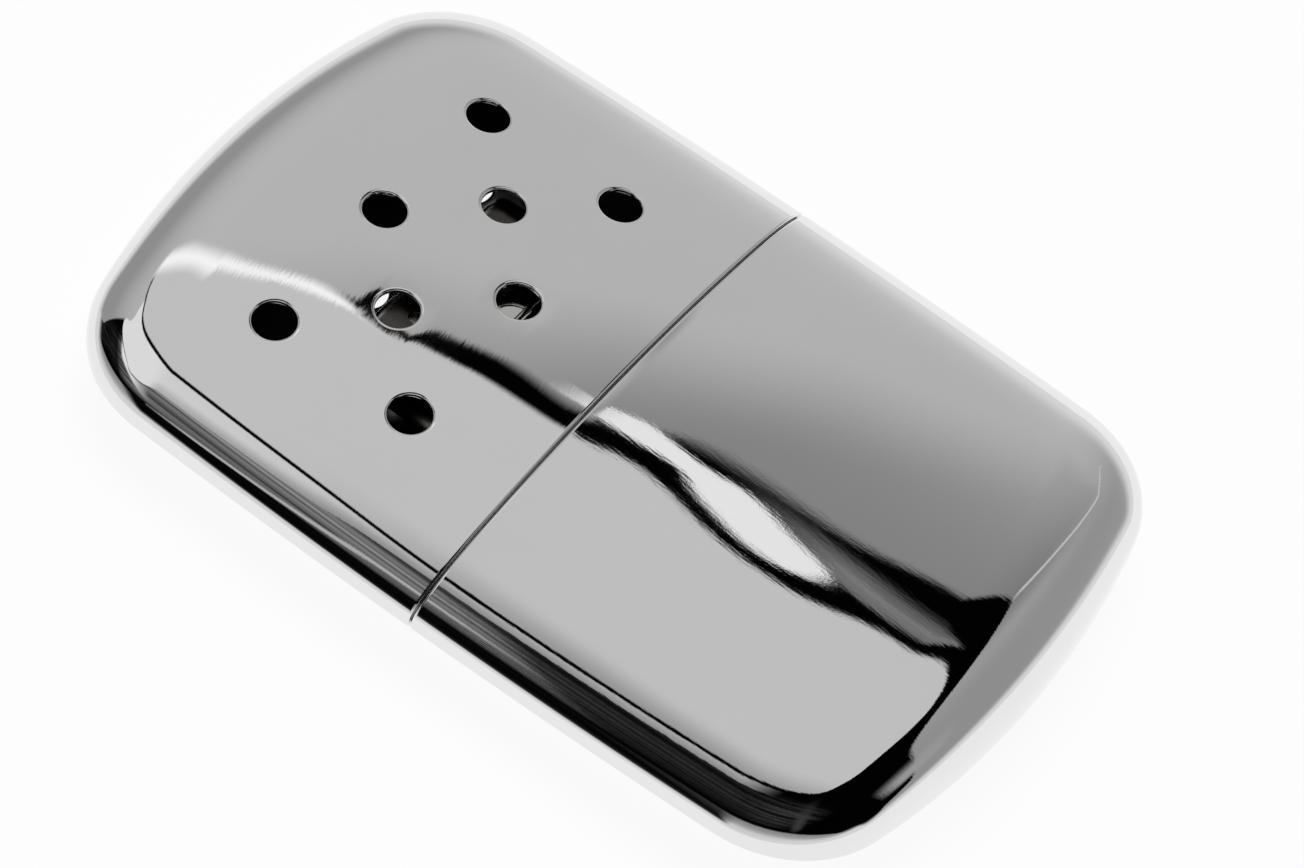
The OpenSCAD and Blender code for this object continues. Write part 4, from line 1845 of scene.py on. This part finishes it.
        # Far edge of the second softbox, its foot, and the wall and sill seen past it
        top = graph.curve(u, (0.0, 0.17), (0.235, 0.215), (0.28, 0.235), (0.31, 0.30),
                          (0.36, 0.345), (0.55, 0.42), (0.62, 0.42), (0.72, 0.30),
                          (0.88, 0.10), (0.92, -0.05))
        foot = graph.curve(u, (0.675, -0.18), (0.75, 0.0), (0.88, 0.03), (0.92, 0.12))
        above = graph.step(rise, 0.026, 0.040)
        above = graph.mix(graph.step(u, 0.66, 0.69), above, graph.math(
            "MINIMUM", above, graph.step(graph.math("SUBTRACT", v, foot), -0.01, 0.01)))
        below = graph.math("SUBTRACT", top, v)
        second = graph.math("MINIMUM", above, graph.step(below, -0.006, 0.006))
        level = graph.product(graph.step(below, 0.13, 0.0, 0, -50), graph.step(u, 0.45, 0.3))
        level = graph.math("ADD", graph.step(u, 0.26, 0.42, 195, 218), level)
        total = graph.mix(graph.product(second, graph.step(u, 0.0, 0.22)), total,
                          self.lit(graph, level))
        past = graph.math("MINIMUM", graph.step(below, -0.018, -0.03),
                          graph.step(graph.math("MULTIPLY_ADD", u, 0.9, v), 1.13, 1.03))
        past = graph.product(past, graph.between(u, 0.44, 0.82, 0.04))
        total = graph.mix(past, total, graph.step(u, 0.45, 0.66, self.tone(140),
                                                  self.tone(225)))
        sill = graph.curve(u, (0.2, 0.5), (0.30, 0.52), (0.335, 0.60), (0.39, 0.72), (0.5, 0.9))
        glint = graph.near(graph.math("SUBTRACT", v, sill), 0.05, 0.01)
        return graph.mix(graph.product(glint, graph.between(u, 0.265, 0.46, 0.03)),
                         total, self.tone(170))

    def streaks(self, graph: Graph, u: object, v: object,
                total: object) -> bpy.types.NodeSocket:
        """Streaks and a grey lens along the gap, small things round it, and two windows.

        Args:
            graph: where the nodes go.
            u: place on the ceiling along X.
            v: place on the ceiling along Y.
            total: the light so far.

        Returns:
            The light with these in front.
        """
        # Each streak is a middle line in v and a half-width, both drawn along u
        streak = graph.off(v, graph.curve(u, (0.328, -0.484), (0.334, -0.474), (0.340, -0.449),
                                          (0.344, -0.424), (0.355, -0.398), (0.8, -0.392)),
                           graph.curve(u, (0.326, 0.010), (0.334, 0.034), (0.344, 0.046),
                                       (0.42, 0.043), (0.6, 0.055)))
        streak = graph.product(graph.near(streak, 1.0, 0.0), graph.step(u, 0.322, 0.330),
                               graph.step(u, 0.86, 0.78))
        total = graph.mix(streak, total, self.tone(246))
        lens = graph.off(v, graph.curve(u, (-0.03, -0.615), (0.18, -0.626), (0.222, -0.628),
                                        (0.236, -0.636), (0.262, -0.672)),
                         graph.curve(u, (-0.03, 0.002), (0.07, 0.010), (0.18, 0.026),
                                     (0.222, 0.038), (0.240, 0.036), (0.264, 0.010)))
        inside = graph.product(graph.step(lens, -1.4, 0.3), graph.step(lens, 1.15, 0.6),
                               graph.step(u, -0.05, 0.1), graph.step(u, 0.270, 0.240))
        vein = graph.math("MULTIPLY_ADD", graph.math("SINE", graph.math("MULTIPLY", lens, 9.0)),
                          0.11, 0.89)
        total = graph.mix(inside, total, graph.product(vein, self.tone(122)))
        white = graph.off(v, graph.curve(u, (0.236, -0.590), (0.240, -0.586), (0.249, -0.588),
                                         (0.262, -0.614), (0.275, -0.625), (0.290, -0.625),
                                         (0.30, -0.61)),
                          graph.curve(u, (0.236, 0.003), (0.240, 0.013), (0.249, 0.038),
                                      (0.262, 0.040), (0.272, 0.020), (0.290, 0.030),
                                      (0.297, 0.018)))
        white = graph.product(graph.near(white, 1.2, 0.7), graph.step(u, 0.238, 0.243),
                              graph.step(u, 0.308, 0.292))
        total = graph.mix(white, total, self.tone(228))

        fold = graph.curve(v, (-2.4, 0.08), (-1.9, -0.04), (-1.5, -0.15), (-1.1, -0.10),
                           (-0.87, -0.05))
        fold = graph.product(graph.near(graph.math("SUBTRACT", u, fold), 0.022, 0.004),
                             graph.step(v, -0.80, -0.90), graph.step(v, -3.0, -1.9))
        total = graph.mix(fold, total, self.tone(190))
        patch = graph.off(v, graph.math("MULTIPLY_ADD", u, 0.25, -0.18), 0.20)
        patch = graph.product(graph.near(patch, 1.1, 0.4),
                              graph.near(graph.math("ADD", u, 1.35), 0.6, 0.1))
        total = graph.mix(patch, total, self.tone(150))
        slant = graph.off(v, graph.curve(u, (-0.75, 0.85), (-0.45, 0.5), (-0.2, 0.17)), 0.14)
        slant = graph.product(graph.near(slant, 1.0, 0.0), graph.between(u, -0.65, -0.25, 0.12))
        total = graph.mix(slant, total, self.tone(58))
        # Two low windows on the camera's side, with the dark room left between them
        windows = graph.math("ADD", graph.between(u, -3.4, 0.10, 0.2),
                             graph.between(u, 0.90, 3.4, 0.2))
        windows = graph.product(windows, graph.between(v, 0.95, 4.0, 0.06))
        return graph.mix(windows, total, graph.step(v, 0.9, 2.4, self.tone(135), self.tone(200)))

    def surroundings(self) -> None:
        """Makes the world: white to the camera, a studio with softboxes to the metal."""
        world = bpy.data.worlds.new("studio")
        bpy.context.scene.world = world
        world.use_nodes = True
        graph = Graph(world.node_tree)
        graph.tree.nodes.clear()
        x, y, z = graph.parts(graph.add("ShaderNodeTexCoord").outputs["Generated"])
        height = graph.math("MAXIMUM", z, 0.02)
        u, v = graph.math("DIVIDE", x, height), graph.math("DIVIDE", y, height)
        light = self.softboxes(graph, u, v, self.sweep(graph, u, v))
        light = self.streaks(graph, u, v, light)
        # White table below the horizon, seen a little higher on the camera's side
        horizon = graph.math("SUBTRACT", z, graph.step(v, 0.0, 0.5, 0.0, 0.10))
        light = graph.mix(graph.step(horizon, 0.26, 0.06), light,
                          graph.step(z, 0.05, -0.6, self.tone(212), self.tone(233)))
        path = graph.add("ShaderNodeLightPath")
        light = graph.mix(path.outputs["Is Camera Ray"], light, 1.0)
        background = graph.add("ShaderNodeBackground")
        graph.feed(background.inputs["Color"], light)
        graph.feed(graph.add("ShaderNodeOutputWorld").inputs[0], background.outputs[0])

    def floor(self) -> None:
        """Lays a pale floor that keeps a faint shadow under the object."""
        points = np.array([[-1, -1, 0], [1, -1, 0], [1, 1, 0], [-1, 1, 0]]) \
            * self.floor_reach - [0, 0, self.floor_depth]
        floor = make_piece("floor", points, np.array([[0, 1, 2, 3]]))
        material = bpy.data.materials.new("pale_floor")
        material.use_nodes = True
        graph = Graph(material.node_tree)
        graph.tree.nodes.clear()
        matte = graph.add("ShaderNodeBsdfDiffuse")
        matte.inputs["Color"].default_value = (*[self.floor_white] * 3, 1)
        glow = graph.add("ShaderNodeEmission")
        glow.inputs["Color"].default_value = (1, 1, 1, 1)
        path = graph.add("ShaderNodeLightPath")
        seen = graph.math("MAXIMUM", path.outputs["Is Camera Ray"],
                          graph.math("MAXIMUM", path.outputs["Is Glossy Ray"],
                                     path.outputs["Is Transmission Ray"]))
        mix = graph.add("ShaderNodeMixShader")
        graph.fill(mix.inputs, graph.math("MULTIPLY", seen, self.floor_white),
                   matte.outputs[0], glow.outputs[0])
        graph.feed(graph.add("ShaderNodeOutputMaterial").inputs[0], mix.outputs[0])
        floor.data.materials.append(material)

    def lamp(self) -> None:
        """Hangs one soft lamp that the metal doesn't mirror, for the matt pieces."""
        data = bpy.data.lights.new("soft_lamp", "AREA")
        data.shape = "DISK"
        data.size = self.lamp_size
        data.energy = self.lamp_power
        lamp = bpy.data.objects.new("soft_lamp", data)
        lamp.location = self.lamp_place
        lamp.rotation_euler = Vector(self.lamp_place).to_track_quat("Z", "Y").to_euler()
        lamp.visible_glossy = False
        lamp.visible_camera = False
        bpy.context.scene.collection.objects.link(lamp)

    def build(self) -> None:
        """Sets up the whole studio."""
        self.camera()
        self.surroundings()
        self.floor()
        self.lamp()


def vent_places(first: float = 30.0, row_step: float = 8.25,
                column_step: float = 17.6) -> tuple[tuple[float, float], ...]:
    """X and Y of the vents: rows of three, two and three, the two set between the three."""
    return tuple((first - row_step * row, column_step * column) for row in range(3)
                 for column in ((-0.5, 0.5) if row == 1 else (-1, 0, 1)))


def fit_out(piece: bpy.types.Object, material: bpy.types.Material, body: str, node: str,
            inside: bpy.types.Material | None = None) -> None:
    """Dresses a piece, puts it on its body, and reports it.

    Args:
        piece: the new piece.
        material: its material.
        body: the CAD body that it rides on.
        node: the CAD node that it stands for.
        inside: the material of its inner faces, where they have their own.
    """
    piece.data.materials.append(material)
    if inside:
        piece.data.materials.append(inside)
    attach(piece, body)
    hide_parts(node)
    LOG.info("%s: %d faces, rides on %s", piece.name, len(piece.data.polygons), body)


def main() -> None:
    """Builds, dresses and reports every piece."""
    logging.basicConfig(level=logging.INFO, format="%(name)s: %(message)s")
    bpy.context.scene.view_settings.view_transform = "Standard"
    Studio().build()
    polish, fibres = polish_group(), fibre_group()
    lengthwise = MirrorChrome("chrome_polished_lengthwise", stroke_turn=-7).make(polish)
    crosswise = MirrorChrome("chrome_polished_crosswise", stroke_turn=98,
                             stroke_height=2.6e-7).make(polish)
    # Dull plating inside the shells, with its colour painted dark grey as shade, so the vents
    # look dark
    inner = MirrorChrome("dull_shaded_inside", (0.34, 0.34, 0.35), roughness=0.28,
                         stroke_height=1.5e-6).make(polish)
    nickel = BrightNickel().make(polish)
    tin = SatinTin().make(polish)
    cotton = Fibre().make(fibres)
    felt = Fibre("wool_felt", (0.80, 0.78, 0.73), strand_depth=6e-5).make(fibres)
    glass = Fibre("glass_fibre", (0.52, 0.51, 0.49), strand_depth=1.5e-4).make(fibres)

    cover = Shell("cover_shell_polished", toward=1, rim=0.775, vents=vent_places())
    tank = Shell("tank_shell_polished", toward=-1, rim=-0.525)
    fit_out(cover.build(), crosswise, "cover", "cover_shell", inner)
    fit_out(tank.build(), lengthwise, "tank", "tank_shell", inner)
    fit_out(TankInsert().build(), tin, "tank", "tank_insert")
    fit_out(FillerNeck().build(), tin, "tank", "filler_neck")
    burner = Burner()
    fit_out(burner.sleeve(), nickel, "burner", "burner_sleeve")
    fit_out(burner.housing(), nickel, "burner", "burner_housing")

    wick = SoftPlug("neck_wick_cotton", bottom=3.67, top=11.13, radius=3.1, dome=0.8,
                    lump=0.12, seed=0.4)
    mat = SoftPlug("catalyst_mat_fibre", bottom=13.12, top=23.38, radius=4.18, dome=0.25,
                   lump=0.25, seed=2.1)
    soft = [(wick.build(), cotton, "tank", "neck_wick", Slot.COTTON, 0.6),
            (mat.build(), glass, "burner", "catalyst_mat", Slot.GLASS, 0.5),
            (FeltPad().build(), felt, "tank", "felt_pad", Slot.FELT, 0.8)]
    for name, low, high, seed in (("batting_front", 2.0, 20.0, 0.3),
                                  ("batting_middle", -2.0, 2.0, 1.7),
                                  ("batting_back", -20.0, -2.0, 3.1)):
        pad = Batting(name + "_cotton", low, high, seed).build()
        soft.append((pad, cotton, "tank", name, Slot.COTTON, 0.5))
    for piece, material, body, node, slot, fill in soft:
        fit_out(piece, material, body, node)
    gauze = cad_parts["burner_screen"]
    gauze.data.materials.clear()
    gauze.data.materials.append(WovenGauze().make())
    LOG.info("burner_screen: the CAD node, dressed as woven wire")


if __name__ == "__main__":
    main()
